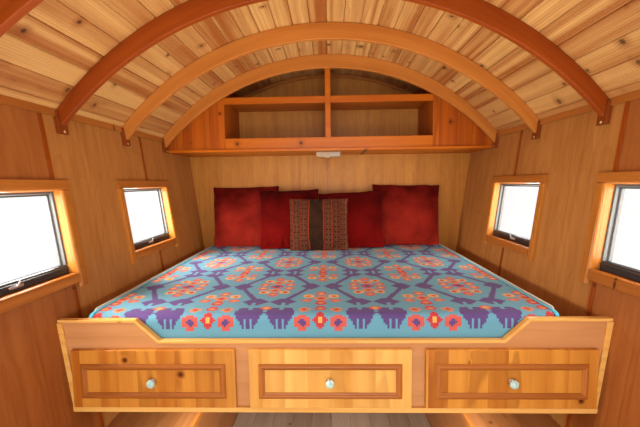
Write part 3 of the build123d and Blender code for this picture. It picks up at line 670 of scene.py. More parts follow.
windowLook = {
    "width": 0.516, "height": 0.348, "sill": 1.243, "places": {"near": -0.61125, "far": 0.36175},
    "casing": 0.044, "casingThick": 0.018, "outerThick": 0.015, "horn": 0.020, "lining": 0.015,
    "moulding": 0.005, "edge": 0.0009,
    "sashFrom": 0.026, "sashSide": 0.012, "sashSill": 0.038, "sashEdge": 0.0006,
    # the black rail's section: out from the sash's face, up from the opening's foot
    "rail": [
        (0.003, 0), (0, 0.003), (0, 0.020), (-0.003, 0.022), (-0.003, 0.027), (0, 0.029), (0.004, 0.036),
        (0.008, 0.038), (0.030, 0.038), (0.034, 0.032), (0.034, 0),
    ],
    # the pale frame's section: in from the opening's side, out from the sash's face
    "jamb": [
        (0, 0), (0, 0.003), (0, 0.034), (0.012, 0.034), (0.012, 0.016), (0.008, 0.014), (0.008, 0.002),
        (0.006, 0),
    ],
    "sealFrom": 0.016, "sealThick": 0.004, "sealWide": 0.0025,
    # the pale metal frames are coloured dark grey: painted shade, for frames seen dark against the bright
    # windows
    "metal": "#1E1C1A", "paleMetal": "#5C5952", "rubber": "#2A2A28", "silver": "#C8C8C6",
}


def wallPlace(side, y):
    # turns (out, along, up) about the middle of a window into a place on the left or right wall
    middle = windowLook["sill"] + windowLook["height"] / 2
    lean = math.atan(bay["wallLean"])
    spot = Matrix.Translation((wallFace(middle), y, middle)) @ Matrix.Rotation(lean, 4, "Y")
    return spot if side == "right" else Matrix.Scale(-1, 4, (1, 0, 0)) @ spot


def casingBoard(low, high, face, back, inner):
    # one board of a casing between two (along, up) corners, with a moulding on its inner side
    lift = math.copysign(windowLook["moulding"], back - face)
    upright = inner in ("left", "right")
    base, sign = (low, 1) if inner in ("left", "bottom") else (high, -1)
    width = high[0] - low[0] if upright else high[1] - low[1]
    outline = [(0.0, back), (0.0, face + lift * 1.6), (0.0035, face + lift * 0.5), (0.010, face),
               (width - 0.002, face), (width, face + lift * 0.4), (width, back)]
    if upright:
        return [[(out, base[0] + sign * reach, up) for reach, out in outline] for up in (low[1], high[1])]
    return [[(out, along, base[1] + sign * reach) for reach, out in outline] for along in (low[0], high[0])]


def plainBoard(low, high):
    x0, y0, z0 = low
    x1, y1, z1 = high
    return [[(x0, y0, z0), (x1, y0, z0), (x1, y1, z0), (x0, y1, z0)],
            [(x0, y0, z1), (x1, y0, z1), (x1, y1, z1), (x0, y1, z1)]]


def makeWindowFrame(side, name):
    look = windowLook
    w, h = look["width"] / 2, look["height"] / 2
    c, t, deep = look["casing"], look["lining"], bay["wallThick"]
    uprights, lengths = [], []
    # the casing inside has horns at its foot, the one outside has none
    casings = ((-look["casingThick"], 0.0, look["horn"]), (deep + look["outerThick"], deep, 0.0))
    for face, back, horn in casings:
        lengths.append(casingBoard((-w - c, h), (w + c, h + c), face, back, "bottom"))
        lengths.append(casingBoard((-w, -h - c), (w, -h), face, back, "top"))
        uprights.append(casingBoard((w, -h - c - horn), (w + c, h), face, back, "left"))
        uprights.append(casingBoard((-w - c, -h - c - horn), (-w, h), face, back, "right"))
    lengths.append(plainBoard((0, -w - t, h), (deep, w + t, h + t)))
    lengths.append(plainBoard((0, -w - t, -h - t), (deep, w + t, -h)))
    uprights.append(plainBoard((0, w, -h), (deep, w + t, h)))
    uprights.append(plainBoard((0, -w - t, -h), (deep, -w, h)))
    spot = wallPlace(side, look["places"][name])
    node = f"window_frame_{side}_{name}"
    draw = random.Random(camel(node))
    for part, sections in (("Lengths", lengths), ("Uprights", uprights)):
        finish = finishes["casing" + part[:-1]]
        made = prisms(camel(node) + part, placed(sections, spot), finish, [draw.random() for s in sections])
        fit(ease(made, look["edge"], limit=20), replaces=[node])


def plainMetal(name, code, gloss, **more):
    finish = Finish(name, **more)
    speck = finish.cloud(finish.point(), 900.0, 2.0)
    smear = finish.cloud(finish.point(), 22.0, 3.0)
    base = tone(code)
    worn = tuple(min(1, v * 1.18 + 0.01) for v in base[:3]) + (1,)
    colour = finish.mix((smear * 0.7 + speck * 0.3 - 0.15).held(), base, worn)
    return finish.paint(colour, smear * 0.12 + speck * 0.08 + gloss, speck, strength=0.08, depth=0.0004)


def makeGlass(name, alpha):
    finish = Finish(name, Roughness=0.03, Specular_IOR_Level=0.15, Base_Color=(0.95, 0.98, 0.97, 1))
    dust = finish.cloud(finish.point(), 60.0, 4.0, 0.7)
    return finish.paint(Alpha=dust * 0.05 + alpha)


hardware = {
    "sash": plainMetal("sashBlack", windowLook["metal"], 0.34, Coat_Weight=0.2),
    # painted shade: the pale frames get a dark grey
    "jamb": plainMetal("sashPale", windowLook["paleMetal"], 0.42),
    "rubber": plainMetal("sashRubber", windowLook["rubber"], 0.6),
    "silver": plainMetal("latchSilver", windowLook["silver"], 0.2, Metallic=1.0),
    "glass": makeGlass("windowGlass", 0.05),
}


def makeSashes():
    look = windowLook
    w, h = look["width"] / 2, look["height"] / 2
    face, low = look["sashFrom"], look["sashSill"] - h
    side, high = w - look["sashSide"], h - look["sashSide"]
    front = face + look["sealFrom"]
    back, seal = front + look["sealThick"], look["sealWide"]
    rail, jamb = look["rail"], look["jamb"]
    boards = [
        ([[(face + out, along, up - h) for out, up in rail] for along in (-w, w)], "sash"),
        ([[(face + out, reach - w, up) for reach, out in jamb] for up in (low, h)], "jamb"),
        ([[(face + out, w - reach, up) for reach, out in jamb] for up in (low, h)], "jamb"),
        ([[(face + out, along, h - reach) for reach, out in jamb] for along in (-side, side)], "jamb"),
        (plainBoard((front, -side, low), (back, seal - side, high)), "rubber"),
        (plainBoard((front, side - seal, low), (back, side, high)), "rubber"),
        (plainBoard((front, -side, high - seal), (back, side, high)), "rubber"),
        (plainBoard((front, -side, low), (back, side, low + seal)), "rubber"),
    ]
    parts, latches = [], []
    for wall in ("left", "right"):
        for y in look["places"].values():
            spot = wallPlace(wall, y)
            parts += [prisms("sash", placed([ring], spot), hardware[finish]) for ring, finish in boards]
            latches += makeLatch(spot @ Matrix.Translation((face, 0, look["sashSill"] / 2 - h)))
    sashes = ease(joined("windowSashes", parts), look["sashEdge"], limit=25)
    fit(sashes, replaces=["window_sashes"])
    fit(joined("windowLatches", latches), replaces=["window_latches"])


latchLook = {
    "length": 0.062, "height": 0.015, "plate": 0.003, "boss": 0.0065, "bossRadius": 0.0062,
    "screwAt": 0.024, "screwRadius": 0.0026, "lever": 0.030, "leverThick": 0.004, "leverSteps": 10,
}


def makeLatch(middle):
    look = latchLook
    silver = hardware["silver"]
    plate, boss, end = look["plate"], look["boss"], look["height"] / 2
    reach = look["length"] / 2 - end
    outline = [(math.copysign(reach, c) + end * c, end * s) for c, s in circle(24)]
    steps = [[(-plate * rise, along * size, z * size) for along, z in outline]
             for rise, size in ((0, 1.0), (0.7, 1.0), (1.0, 0.93))]
    parts = [prisms("latchPlate", placed([steps[:2], steps[1:]], middle), silver)]
    r = look["bossRadius"]
    shape = [(0.0, r), (-plate - 0.001, r), (-boss, r - 0.001), (-boss - 0.001, r - 0.0027)]
    parts.append(lathe("latchBoss", shape, 20, middle, silver))
    r = look["screwRadius"]
    shape = [(0.0, r), (-plate - 0.0006, r), (-plate - 0.0012, r - 0.0012)]
    for along in (-look["screwAt"], look["screwAt"]):
        parts.append(lathe("latchScrew", shape, 10, middle @ Matrix.Translation((0, along, 0)), silver))
    # the lever rises from the boss and curves into the room
    points = []
    for i in range(look["leverSteps"] + 1):
        t = i / look["leverSteps"]
        lift = look["lever"] * 0.78 * t - 0.003
        out = -boss - 0.0015 - 0.0065 * math.sin(t * 1.9)
        half = 0.0048 - 0.0018 * t + 0.0012 * math.sin(math.pi * t)
        thick = look["leverThick"] * (0.5 - 0.18 * t)
        points += [middle @ Vector((out + thick * s, half * c + 0.006 * t * t, lift)) for c, s in circle(8)]
    faces = barrelFaces(look["leverSteps"] + 1, 8)
    return [*parts, makePiece("latchLever", points, faces, silver, smooth=True)]


for side in ("left", "right"):
    for name in windowLook["places"]:
        makeWindowFrame(side, name)
makeSashes()
dress(nodes["window_panes"], hardware["glass"])
makeRibTips()
print("windows made")


# Drawers

drawerLook = {
    "marginSide": 0.037, "marginTop": 0.053, "marginBottom": 0.039,
    "thick": 0.019, "edge": 0.003, "beadEdge": 0.0005,
    # the bead's section: in from the margins, out from the board
    "bead": [
        (0.0, 0.0), (0.0, 0.0035), (0.0015, 0.0045), (0.004, 0.0075), (0.008, 0.0098), (0.013, 0.0098),
        (0.0165, 0.0078), (0.018, 0.0050), (0.0215, 0.0040), (0.024, 0.0020), (0.024, 0.0),
    ],
}
# the sections are (out from the board, radius) pairs
knobLook = {
    "sides": 8, "turn": 22.5, "glass": "#B4DCCB", "shine": "#DDF3EA",
    "rose": [(0.0, 0.0105), (0.0015, 0.0105), (0.0030, 0.0080), (0.0060, 0.0068), (0.0100, 0.0078),
             (0.0110, 0.0070)],
    "bulb": [(0.0100, 0.0070), (0.0135, 0.0130), (0.0190, 0.0168), (0.0240, 0.0168), (0.0290, 0.0135),
             (0.0335, 0.0080)],
}


def makeKnobGlass():
    look = knobLook
    finish = Finish("knobGlass", Roughness=0.04, IOR=1.5, Transmission_Weight=0.35, Coat_Weight=0.3,
                    Coat_Roughness=0.03)
    shade = finish.cloud(finish.point(), 120.0, 2.0)
    return finish.paint(finish.mix(shade, tone(look["glass"]), tone(look["shine"])))


def mitred(outline, path):
    # carries an outline of (inwards, outwards) pairs round a closed path, with mitred corners
    rings = []
    for i, here in enumerate(path):
        ahead = (path[(i + 1) % len(path)] - here).normalized()
        behind = (here - path[i - 1]).normalized()
        left = Vector((-(ahead + behind).y, (ahead + behind).x)).normalized()
        left /= math.cos(ahead.angle(behind) / 2)
        rings.append([(here + left * reach, rise) for reach, rise in outline])
    return rings


def makeDrawer(name, knobGlass):
    look = drawerLook
    body = f"drawer_{name}"
    front = f"drawer_front_{name}"
    low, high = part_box(front)
    face = high.y - look["thick"]
    # the middle drawer's paler pine is painted light
    pine = finishes["drawerPalePine" if name == "middle" else "drawerPine"]
    board = makePiece(camel(front), *boxMesh((low.x, face, low.z), high), pine)
    fit(ease(board, look["edge"], segments=3), body, [front])
    # the raised moulding, mitred at its corners
    left, right = low.x + look["marginSide"], high.x - look["marginSide"]
    bottom, top = low.z + look["marginBottom"], high.z - look["marginTop"]
    corners = [Vector(c) for c in ((left, bottom), (right, bottom), (right, top), (left, top))]
    rings = [[(p.x, face - rise, p.y) for p, rise in ring] for ring in mitred(look["bead"], corners)]
    parts = []
    for i in range(4):
        # the moulding's darker brown is partly painted shade
        finish = finishes["beadUpright" if i % 2 else "beadPine"]
        parts.append(prisms("side", [[rings[i], rings[(i + 1) % 4]]], finish))
    bead = joined(camel(f"drawer_bead_{name}"), parts)
    bead.data.shade_smooth()
    fit(ease(bead, look["beadEdge"], limit=40), body, [front])
    # cut-glass knob on a small metal rose
    knob = f"drawer_knob_{name}"
    low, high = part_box(knob)
    spot = Matrix.Translation(((low.x + high.x) / 2, high.y, (low.z + high.z) / 2))
    spot = spot @ Matrix.Rotation(math.radians(-90), 4, "Z")
    turned = spot @ Matrix.Rotation(math.radians(knobLook["turn"]), 4, "X")
    rose = lathe("knobRose", knobLook["rose"], 24, spot, hardware["silver"])
    bulb = lathe("knobBulb", knobLook["bulb"], knobLook["sides"], turned, knobGlass, smooth=False)
    fit(joined(camel(knob), [rose, bulb]), body, [knob])


knobGlass = makeKnobGlass()
for name in ("left", "middle", "right"):
    makeDrawer(name, knobGlass)
print("drawers made")


# Floor, outside boards and canvas

shellLook = {
    "floorPlank": 0.118, "floorGap": 0.0012, "floorEdge": 0.0018,
    "boardThick": 0.006, "boardWidth": 0.089, "joint": 0.0035, "headGap": 0.012, "endGap": 0.002,
    "lowerOutside": 0.643, "sill": 0.070, "widestAt": 2.0, "seed": 11,
}


def makeFloor():
    look = shellLook
    draw = random.Random(look["seed"])
    low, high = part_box("floor_boards")
    count = round((high.x - low.x) / look["floorPlank"])
    wide = (high.x - low.x) / count
    top, edge, gap = high.z, look["floorEdge"], look["floorGap"] / 2
    sections = []
    for n in range(count):
        a, b = low.x + n * wide + gap, low.x + (n + 1) * wide - gap
        outline = [(a, low.z), (b, low.z), (b, top - edge), (b - edge, top), (a + edge, top), (a, top - edge)]
        sections.append(alongBay(outline, low.y, high.y))
    floor = prisms("floorPlanks", sections, finishes["floorWood"], [draw.random() for s in sections])
    fit(floor, replaces=["floor_boards"])


def boardRow(start, end):
    # V-edged boards side by side: outlines of (along the wall, out from it) pairs
    count = round((end - start) / shellLook["boardWidth"])
    wide, out, j = (end - start) / count, shellLook["boardThick"], shellLook["joint"]
    edges = [(start + k * wide, start + (k + 1) * wide) for k in range(count)]
    return [[(a, 0.0), (b, 0.0), (b, out - j), (b - j, out), (a + j, out), (a, out - j)] for a, b in edges]


def makeSideBoards():
    look, window = shellLook, windowLook
    draw = random.Random(look["seed"])
    half = window["width"] / 2 + window["casing"]
    top = window["height"] / 2 + window["casing"]
    stops = [y + way for y in window["places"].values() for way in (-half, half)]
    stops = [bay["openEnd"], *stops, bay["endOutside"]]
    middle = window["sill"] + window["height"] / 2
    lean = math.atan(bay["wallLean"])
    foot = (bay["ledgeTop"] - middle) / math.cos(lean)
    head = (roofHeight(wallOutside(look["widestAt"])) - middle) / math.cos(lean) - look["headGap"]
    paint = finishes["outerPaint"]
    for side, sign in (("left", -1), ("right", 1)):
        sections, planks = [], []
        for n in range(len(stops) - 1):
            # every other row has a window, and stands above and below it
            spans = [(foot, -top), (top, head)] if n % 2 else [(foot, head)]
            for outline in boardRow(stops[n], stops[n + 1]):
                chance = draw.random()
                for ends in spans:
                    sections.append([[(bay["wallThick"] + out, y, up) for y, out in outline] for up in ends])
                    planks.append(chance)
        boards = prisms(camel(f"outer_boards_{side}"), placed(sections, wallPlace(side, 0)), paint, planks)
        fit(boards)
        # low walls below the ledge
        ends = (look["sill"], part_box("lower_walls")[1].z)
        sections = [[[(sign * (look["lowerOutside"] + out), y, z) for y, out in outline] for z in ends]
                    for outline in boardRow(bay["openEnd"], bay["endOutside"])]
        boards = prisms(camel(f"lower_boards_{side}"), sections, paint, [draw.random() for s in sections])
        fit(boards)


def makeEndBoards():
    look = shellLook
    draw = random.Random(look["seed"] + 1)
    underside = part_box("lower_walls")[1].z
    shoulder = wallOutside(bay["ledgeTop"])
    reach = wallOutside(look["widestAt"])
    edges = [0.0]
    while edges[-1] < reach:
        edges.append(edges[-1] + look["boardWidth"])
    edges[-1] = reach
    sections, planks = [], []
    for sign in (1, -1):
        for a, b in zip(edges, edges[1:]):
            chance = draw.random()
            # a board is cut where the low wall and the ledge end
            cuts = [a, *[c for c in (look["lowerOutside"], shoulder) if a < c < b], b]
            for left, right in zip(cuts, cuts[1:]):
                if right <= look["lowerOutside"]:
                    feet = [look["sill"]] * 2
                elif right <= shoulder:
                    feet = [underside] * 2
                else:
                    ends = (left + 0.0002, right)
                    feet = [bay["ledgeTop"] + (x - shoulder) / bay["wallLean"] for x in ends]
                heads = [roofHeight(x) - look["endGap"] for x in (left, right)]
                if feet[1] >= heads[1]:
                    continue
                outline = [(left, feet[0]), (right, feet[1]), (right, heads[1]), (left, heads[0])]
                rings = []
                for out, j in ((0.0, 0.0), (look["boardThick"], look["joint"])):
                    pull = {a: j, b: -j}
                    back = bay["endOutside"] + out
                    rings.append([(sign * (x + pull.get(x, 0.0)), back, z) for x, z in outline])
                sections.append(rings)
                planks.append(chance)
    fit(prisms("outerBoardsEnd", sections, finishes["outerPaint"], planks))


canvasLook = {
    "colour": "#2F4A35", "shade": "#22382A", "seam": "#14241A", "seamStep": 0.92,
    "thick": 0.0016, "under": 0.0028, "end": 0.002, "columns": 120, "rows": 110,
    "tack": 0.0042, "tackStep": 0.075, "tackFrom": 0.02, "hem": 0.028,
}


def makeCanvasCloth(look):
    finish = Finish("roofCanvas", Specular_IOR_Level=0.3)
    y, bend, _ = runOf(finish, "ceiling")
    thread = (bend * 2400.0).sine() * (y * 2400.0).sine()
    streak = finish.cloud(finish.join(bend * 1.2, y * 6.0, 0.0), 2.0, 4.0, 0.6)
    blotch = finish.cloud(finish.join(bend, y, 0.0), 9.0, 4.0)
    seam = abs(y % look["seamStep"] - look["seamStep"] / 2) < 0.0022
    share = (streak * 0.8 + blotch * 0.5 - 0.3).held()
    colour = finish.mix(share, tone(look["colour"]), tone(look["shade"]))
    colour = finish.mix(seam * 0.4, colour, tone(look["seam"]))
    return finish.paint(colour, blotch * 0.2 + 0.55, thread * 0.4 + blotch, strength=0.3, depth=0.0009)


def thicken(sheet, thick, side):
    layer = sheet.modifiers.new("thick", "SOLIDIFY")
    layer.thickness = thick
    layer.offset = side
    settle(sheet)


def makeCanvas(look):
    low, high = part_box("roof_cover")
    radius = high.z - bay["roofCentre"] - look["under"]
    half = math.asin(high.x / (radius + look["under"])) - 0.0004
    columns, rows = look["columns"], look["rows"]
    start, length = low.y + look["end"], high.y - low.y - 2 * look["end"]
    points = []
    for j in range(rows + 1):
        y = start + length * j / rows
        edge = min(y - low.y, high.y - y)
        for i in range(columns + 1):
            a = -half + 2 * half * i / columns
            # puckers at both ends, and slight hollows all over
            pucker = noise.noise(Vector((a * 40, y * 3.0, 1.7))) * 0.0012 * math.exp(-edge / 0.25)
            broad = noise.noise(Vector((a * 4.0, y * 5.0, 4.1))) * 0.0006
            r = radius + max(-0.0008, pucker + broad)
            points.append((r * math.sin(a), y, bay["roofCentre"] + r * math.cos(a)))
    finish = makeCanvasCloth(look)
    sheet = makePiece("roofCanvas", points, gridFaces(columns, rows), finish, smooth=True)
    thicken(sheet, look["thick"], 1)
    fit(sheet, replaces=["roof_cover"])
    # tacks along the eaves and round both ends
    hem, gap = look["hem"] / 2, look["tackFrom"]
    steps = int((high.y - low.y) / look["tackStep"])
    run = [low.y + gap + (high.y - low.y - 2 * gap) * n / steps for n in range(steps + 1)]
    spots = [(side * (half - hem / radius), y) for side in (-1, 1) for y in run]
    steps = int(2 * half * radius / look["tackStep"])
    bow = [-half + 2 * half * n / steps for n in range(1, steps)]
    spots += [(a, y) for y in (low.y + hem, high.y - hem) for a in bow]
    size = look["tack"]
    head = [(radius - 0.001, size), (radius + 0.0016, size * 0.9), (radius + 0.0026, size * 0.45)]
    tacks = []
    for a, y in spots:
        base = Matrix.Translation((0, y, bay["roofCentre"])) @ Matrix.Rotation(a - math.pi / 2, 4, "Y")
        tacks.append(lathe("tack", head, 8, base, hardware["silver"]))
    row = joined("canvasTacks", tacks)
    row.data.shade_smooth()
    fit(row)


makeFloor()
makeSideBoards()
makeEndBoards()
makeCanvas(canvasLook)
print("floor, outside boards and canvas made")


# Light under the cupboard

# The fitting's white plastic and lens are coloured a dark tan and grey: painted shade, for the shade under
# the cupboard.
lightLook = {"shell": "#A48666", "lens": "#8C8478", "edge": 0.004, "windowEdge": 0.0015, "grilleEdge": 0.0006}


def makeLight():
    look = lightLook
    low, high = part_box("cupboard_light")
    # painted shade: both finishes are darker than the fitting's own white
    shell = plainMetal("lightPlastic", look["shell"], 0.4)
    lens = plainMetal("lightLens", look["lens"], 0.25)
    left, right, middle, base = low.x, high.x, (low.x + high.x) / 2, low.z
    # the body's outline, seen from the bed
    outline = [
        (left, high.z), (left, base + 0.020), (left + 0.006, base + 0.010), (middle - 0.03, base + 0.008),
        (middle - 0.02, base), (middle + 0.006, base), (middle + 0.014, base + 0.010),
        (right - 0.008, base + 0.012), (right, base + 0.020), (right, high.z),
    ]
    body = prisms("lightShell", [alongBay(outline, low.y, high.y)], shell)
    parts = [ease(body, look["edge"], 3, limit=20)]
    start, end = middle + 0.018, right - 0.014
    window = boxMesh((start, low.y + 0.010, base + 0.0085), (end, high.y - 0.010, base + 0.014))
    parts.append(ease(makePiece("lightWindow", *window, lens), look["windowEdge"]))
    grille = boxMesh((start, low.y - 0.0008, base + 0.020), (end, low.y + 0.002, base + 0.036))
    parts.append(ease(makePiece("lightGrille", *grille, lens), look["grilleEdge"]))
    light = joined("cupboardLight", parts)
    light.data.shade_smooth()
    fit(light, replaces=["cupboard_light"])


makeLight()
print("light made")


# Cloth finishes

def makeRedCloth(name, code, brighter):
    # brushed cotton, paler in random worn patches, with painted shade: darker at the top and lighter low
    # down, as the light falls
    finish = Finish(name, Sheen_Weight=0.02, Sheen_Roughness=0.5, Specular_IOR_Level=0.04)
    x, y, z = finish.place()
    spot = finish.join(x, y, z)
    across, up = finish.cloth()
    weave = ((x * 3600.0).sine() * (z * 3600.0).sine()) * 0.5 + 0.5
    nap = finish.cloud(spot, 900.0, 2.0)
    worn = finish.cloud(spot, 7.0, 3.0)
    # the up term is painted shade: it darkens the top of each cushion and lightens its lower part
    share = (worn - 0.5) * 1.2 + nap * 0.2 + 0.42 - up * 1.9
    colour = finish.mix(share.held(), tone(code), tone(brighter))
    return finish.paint(colour, nap * 0.1 + 0.8, weave * 0.5 + nap * 0.7, strength=0.25, depth=0.0008)


def makeBandCloth(look):
    # upright woven bands: a plain one, narrow lines, and wide ones filled with small stepped figures
    finish = Finish("bandCloth", Sheen_Weight=0.05, Specular_IOR_Level=0.08)
    across, up = finish.cloth()
    side = abs(across.stepped(look["step"]) + look["shift"])
    v = up.stepped(look["step"])
    colour = finish.mix(side > look["plainHalf"], tone(look["olive"]), tone(look["rust"]))
    repeat = look["repeat"]
    for number, (middle, half) in enumerate(look["bands"]):
        # each wide band holds a chain of rings between two rows of dots, every other band half a step off
        off = abs(side - middle)
        cycle = abs((v + number * repeat / 2) % repeat - repeat / 2)
        inBand = off < half
        colour = finish.mix(inBand, colour, tone(look["brown"]))
        ring = abs(off * 1.3 + cycle - repeat * 0.40) < repeat * 0.12
        heart = (off * 1.3 + cycle) < repeat * 0.12
        dots = (abs(off - half * 0.78) < half * 0.16) * (abs(cycle - repeat * 0.25) < repeat * 0.13)
        colour = finish.mix((ring.most(heart).most(dots) * inBand * 0.7).held(), colour, tone(look["grey"]))
    for edge, code in look["lines"]:
        colour = finish.mix(abs(side - edge) < look["lineHalf"], colour, tone(look[code]))
    thread = (across * 2800.0).sine() * (up * 2800.0).sine()
    fleck = finish.cloud(finish.join(across, up, 0.0), 520.0, 2.0, 0.7)
    worn = finish.cloud(finish.join(across, up, 4.0), 14.0, 2.0)
    colour = finish.mix((fleck * 1.4 - 0.5).held() * 0.6, colour, tone(look["shade"]))
    colour = finish.mix((worn * 0.8 - 0.2).held() * 0.5, colour, tone(look["dust"]))
    return finish.paint(colour, fleck * 0.1 + 0.82, thread * 0.4 + fleck * 0.8, strength=0.3, depth=0.0009)


bandLook = {
    "step": 0.0034, "shift": 0.019, "plainHalf": 0.051, "lineHalf": 0.0026, "repeat": 0.038,
    # wide bands: middle and half width, from the middle of the plain one; narrow lines: place and colour
    "bands": ((0.088, 0.025), (0.148, 0.026), (0.204, 0.020)),
    "lines": ((0.0530, "orange"), (0.0600, "rust"), (0.1145, "orange"), (0.1195, "rust"), (0.1775, "orange"),
              (0.2265, "grey")),
    "olive": "#2A180B", "rust": "#691D0C", "grey": "#7F5137", "orange": "#8F3411", "brown": "#441A0D",
    "shade": "#240F07", "dust": "#653D27",
}

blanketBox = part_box("blanket")

# The blanket's own design: stepped purple lattices, crosses and lozenges on a teal ground, in metres.
# A cross has its middle, its size, and the colours of its arms and its heart.
blanketLook = {
    "column": 0.44, "cells": 56, "rowCells": 70, "borderCells": 38,
    "teal": "#649AA8", "tealDark": "#3C6C7B", "purple": "#5C3870", "orange": "#DC8038", "coral": "#D2513A",
    "red": "#C42A20", "yellow": "#E8A64A", "binding": "#5CCCE0", "bindingDark": "#23808C",
    "stitch": "#123E4C", "warm": "#8E7A86",
    "crosses": (
        ((0.0, 0.250), 0.027, "red", "orange"), ((0.0, 0.188), 0.029, "orange", "red"),
        ((0.0, 0.120), 0.026, "coral", "yellow"), ((0.062, 0.216), 0.022, "coral", "orange"),
        ((0.056, 0.158), 0.023, "yellow", "coral"), ((0.220, 0.000), 0.030, "red", "purple"),
        ((0.220, 0.066), 0.029, "orange", "red"), ((0.158, 0.030), 0.025, "coral", "yellow"),
        ((0.220, 0.130), 0.024, "coral", "orange"), ((0.170, 0.094), 0.023, "yellow", "red"),
    ),
    "borderCrosses": (
        ((0.070, 0.176), 0.031, "coral", "purple"), ((0.066, 0.246), 0.024, "orange", "red"),
        ((0.0, 0.256), 0.024, "red", "orange"), ((0.220, 0.262), 0.022, "coral", "yellow"),
    ),
    "roll": 0.022, "frontRoll": 0.030, "corner": 0.022, "inset": 0.046, "frontDrop": 0.150, "backGap": 0.004,
    "thick": 0.003, "patternStart": 0.076, "columns": 150, "rows": 150,
    "bindingSteps": 90, "bindingHalf": 0.0095, "bindingFlat": 0.36,
}


def makeBlanketCloth(look):
    finish = Finish("blanketCloth", Sheen_Weight=0.05, Specular_IOR_Level=0.08)
    across, along = finish.cloth()
    step = look["column"] / look["cells"]
    u, v = across.stepped(step), along.stepped(step)
    width, height, border = look["column"], look["rowCells"] * step, look["borderCells"] * step
    m = abs((u + width / 2) % width - width / 2)
    n = abs((v - border) % height - height / 2)
    inBody = v > border
    colour = tone(look["teal"])

    def lay(colour, mask, code):
        return finish.mix(mask.held(), colour, tone(look[code]))

    def cross(colour, m, n, middle, size, arms, heart, mask=1):
        # a chunky cross of one colour with a lozenge of another at its heart
        dm, dn = abs(m - middle[0]), abs(n - middle[1])
        shape = (dm.least(dn) < size * 0.56) * (dm.most(dn) < size)
        colour = lay(colour, shape * mask, arms)
        return lay(colour, ((dm + dn) < size * 0.62) * mask, heart)

    # stepped lines cross the bed in zigzags, with a stepped block at each turn
    line = abs(m - 0.046 - n * 0.52) < 0.0125
    colour = lay(colour, line * (n > 0.03) * (n < 0.22) * inBody, "purple")
    foot = (abs(m - 0.160) < (0.060 - abs(n - 0.232) * 0.95)) * (abs(n - 0.232) < 0.044)
    notch = (abs(m - 0.160) < 0.0085) * (n > 0.240)
    colour = lay(colour, foot * (1 - notch) * inBody, "purple")
    head = (abs(m - 0.052) + n * 0.9) < 0.050
    colour = lay(colour, head * inBody, "purple")
    # crosses run down the middle of each column, and in small groups between the columns
    for design in look["crosses"]:
        colour = cross(colour, m, n, *design, inBody)

    # the border: pairs of stepped crowns, with a cross or a lozenge between them
    rise = v - 0.152
    e = abs(m - 0.158)
    crown = (e < (0.020 + rise * 0.62).least(0.088 - rise * 0.42)) * (rise > 0.0) * (rise < 0.112)
    toes = (abs(e - 0.013) < 0.0042) * (rise < 0.034)
    cleft = (e < 0.010) * (rise > 0.088)
    colour = lay(colour, crown * (1 - toes) * (1 - cleft), "purple")
    for number, design in enumerate(look["borderCrosses"]):
        if number == 2:
            lozenge = m * 1.5 + abs(v - 0.184)
            colour = lay(colour, lozenge < 0.044, "red")
            colour = lay(colour, lozenge < 0.015, "yellow")
        colour = cross(colour, m, v, *design)

    # woven look: threads show the ground through the motifs, and the ground is mottled
    thread = (across * 1900.0).sine() * (along * 1900.0).sine()
    fleck = finish.cloud(finish.join(across, along, 0.0), 300.0, 3.0, 0.8)
    speck = finish.cloud(finish.join(across, along, 3.0), 420.0, 2.0, 0.7)
    broad = finish.cloud(finish.join(across, along, 0.0), 3.0, 2.0)
    colour = finish.mix((fleck * 2.0 - 0.85).held() * 0.75, colour, tone(look["tealDark"]))
    colour = finish.mix((speck * 1.5 - 0.65).held() * 0.4, colour, tone(look["warm"]))
    colour = finish.mix(broad * 0.15, colour, (1, 1, 1, 1), "SOFT_LIGHT")
    # a row of dark stitches just inside the bound edge
    half = (blanketBox[1].x - blanketBox[0].x) / 2 - look["inset"]
    stitch = abs(half - abs(across) - 0.0135) < 0.0017
    stitch = stitch * ((across + along) * 420.0).sine().ramp(-0.7, -0.3)
    colour = lay(colour, stitch, "stitch")
    return finish.paint(colour, fleck * 0.1 + 0.85, thread * 0.4 + fleck, strength=0.4, depth=0.0014)


def makePlainCloth(name, code, darker):
    finish = Finish(name, Sheen_Weight=0.2, Specular_IOR_Level=0.2)
    nap = finish.cloud(finish.point(), 800.0, 2.0)
    shade = finish.cloud(finish.point(), 12.0, 3.0)
    colour = finish.mix((shade * 0.6 + nap * 0.4 - 0.2).held(), tone(code), tone(darker))
    return finish.paint(colour, nap * 0.1 + 0.82, nap, strength=0.3, depth=0.0008)


cloths = {
    "red": makeRedCloth("cushionRed", "#500904", "#9C281B"),
    "redDeep": makeRedCloth("cushionRedDeep", "#360301", "#760C08"),
    "band": makeBandCloth(bandLook),
    "blanket": makeBlanketCloth(blanketLook),
    "binding": makePlainCloth("bindingCloth", blanketLook["binding"], blanketLook["bindingDark"]),
    "ticking": makePlainCloth("mattressCloth", "#E4DCCB", "#C9BFAA"),
}
print("cloths made:", len(cloths))


# Bedding

mattressLook = {
    "corner": 0.070, "edge": 0.016, "headGap": 0.010, "cord": 0.0045, "cordUp": 0.012, "cordOut": 0.003,
    "rimCord": 0.005, "rimInset": 0.022, "rimSteps": 40, "rimDip": 0.030,
}


def tube(name, path, radius, finish, sides=8, flat=1.0, up=None):
    # a cord, or a flat band, along a path of points
    points = []
    for i, here in enumerate(path):
        run = (path[min(i + 1, len(path) - 1)] - path[max(i - 1, 0)]).normalized()
        side = run.cross(up[i] if up else Vector((0, 0, 1))).normalized()
        lift = side.cross(run).normalized()
        points += [here + side * (radius * c) + lift * (radius * flat * s) for c, s in circle(sides)]
    return makePiece(name, points, barrelFaces(len(path), sides), finish, smooth=True)


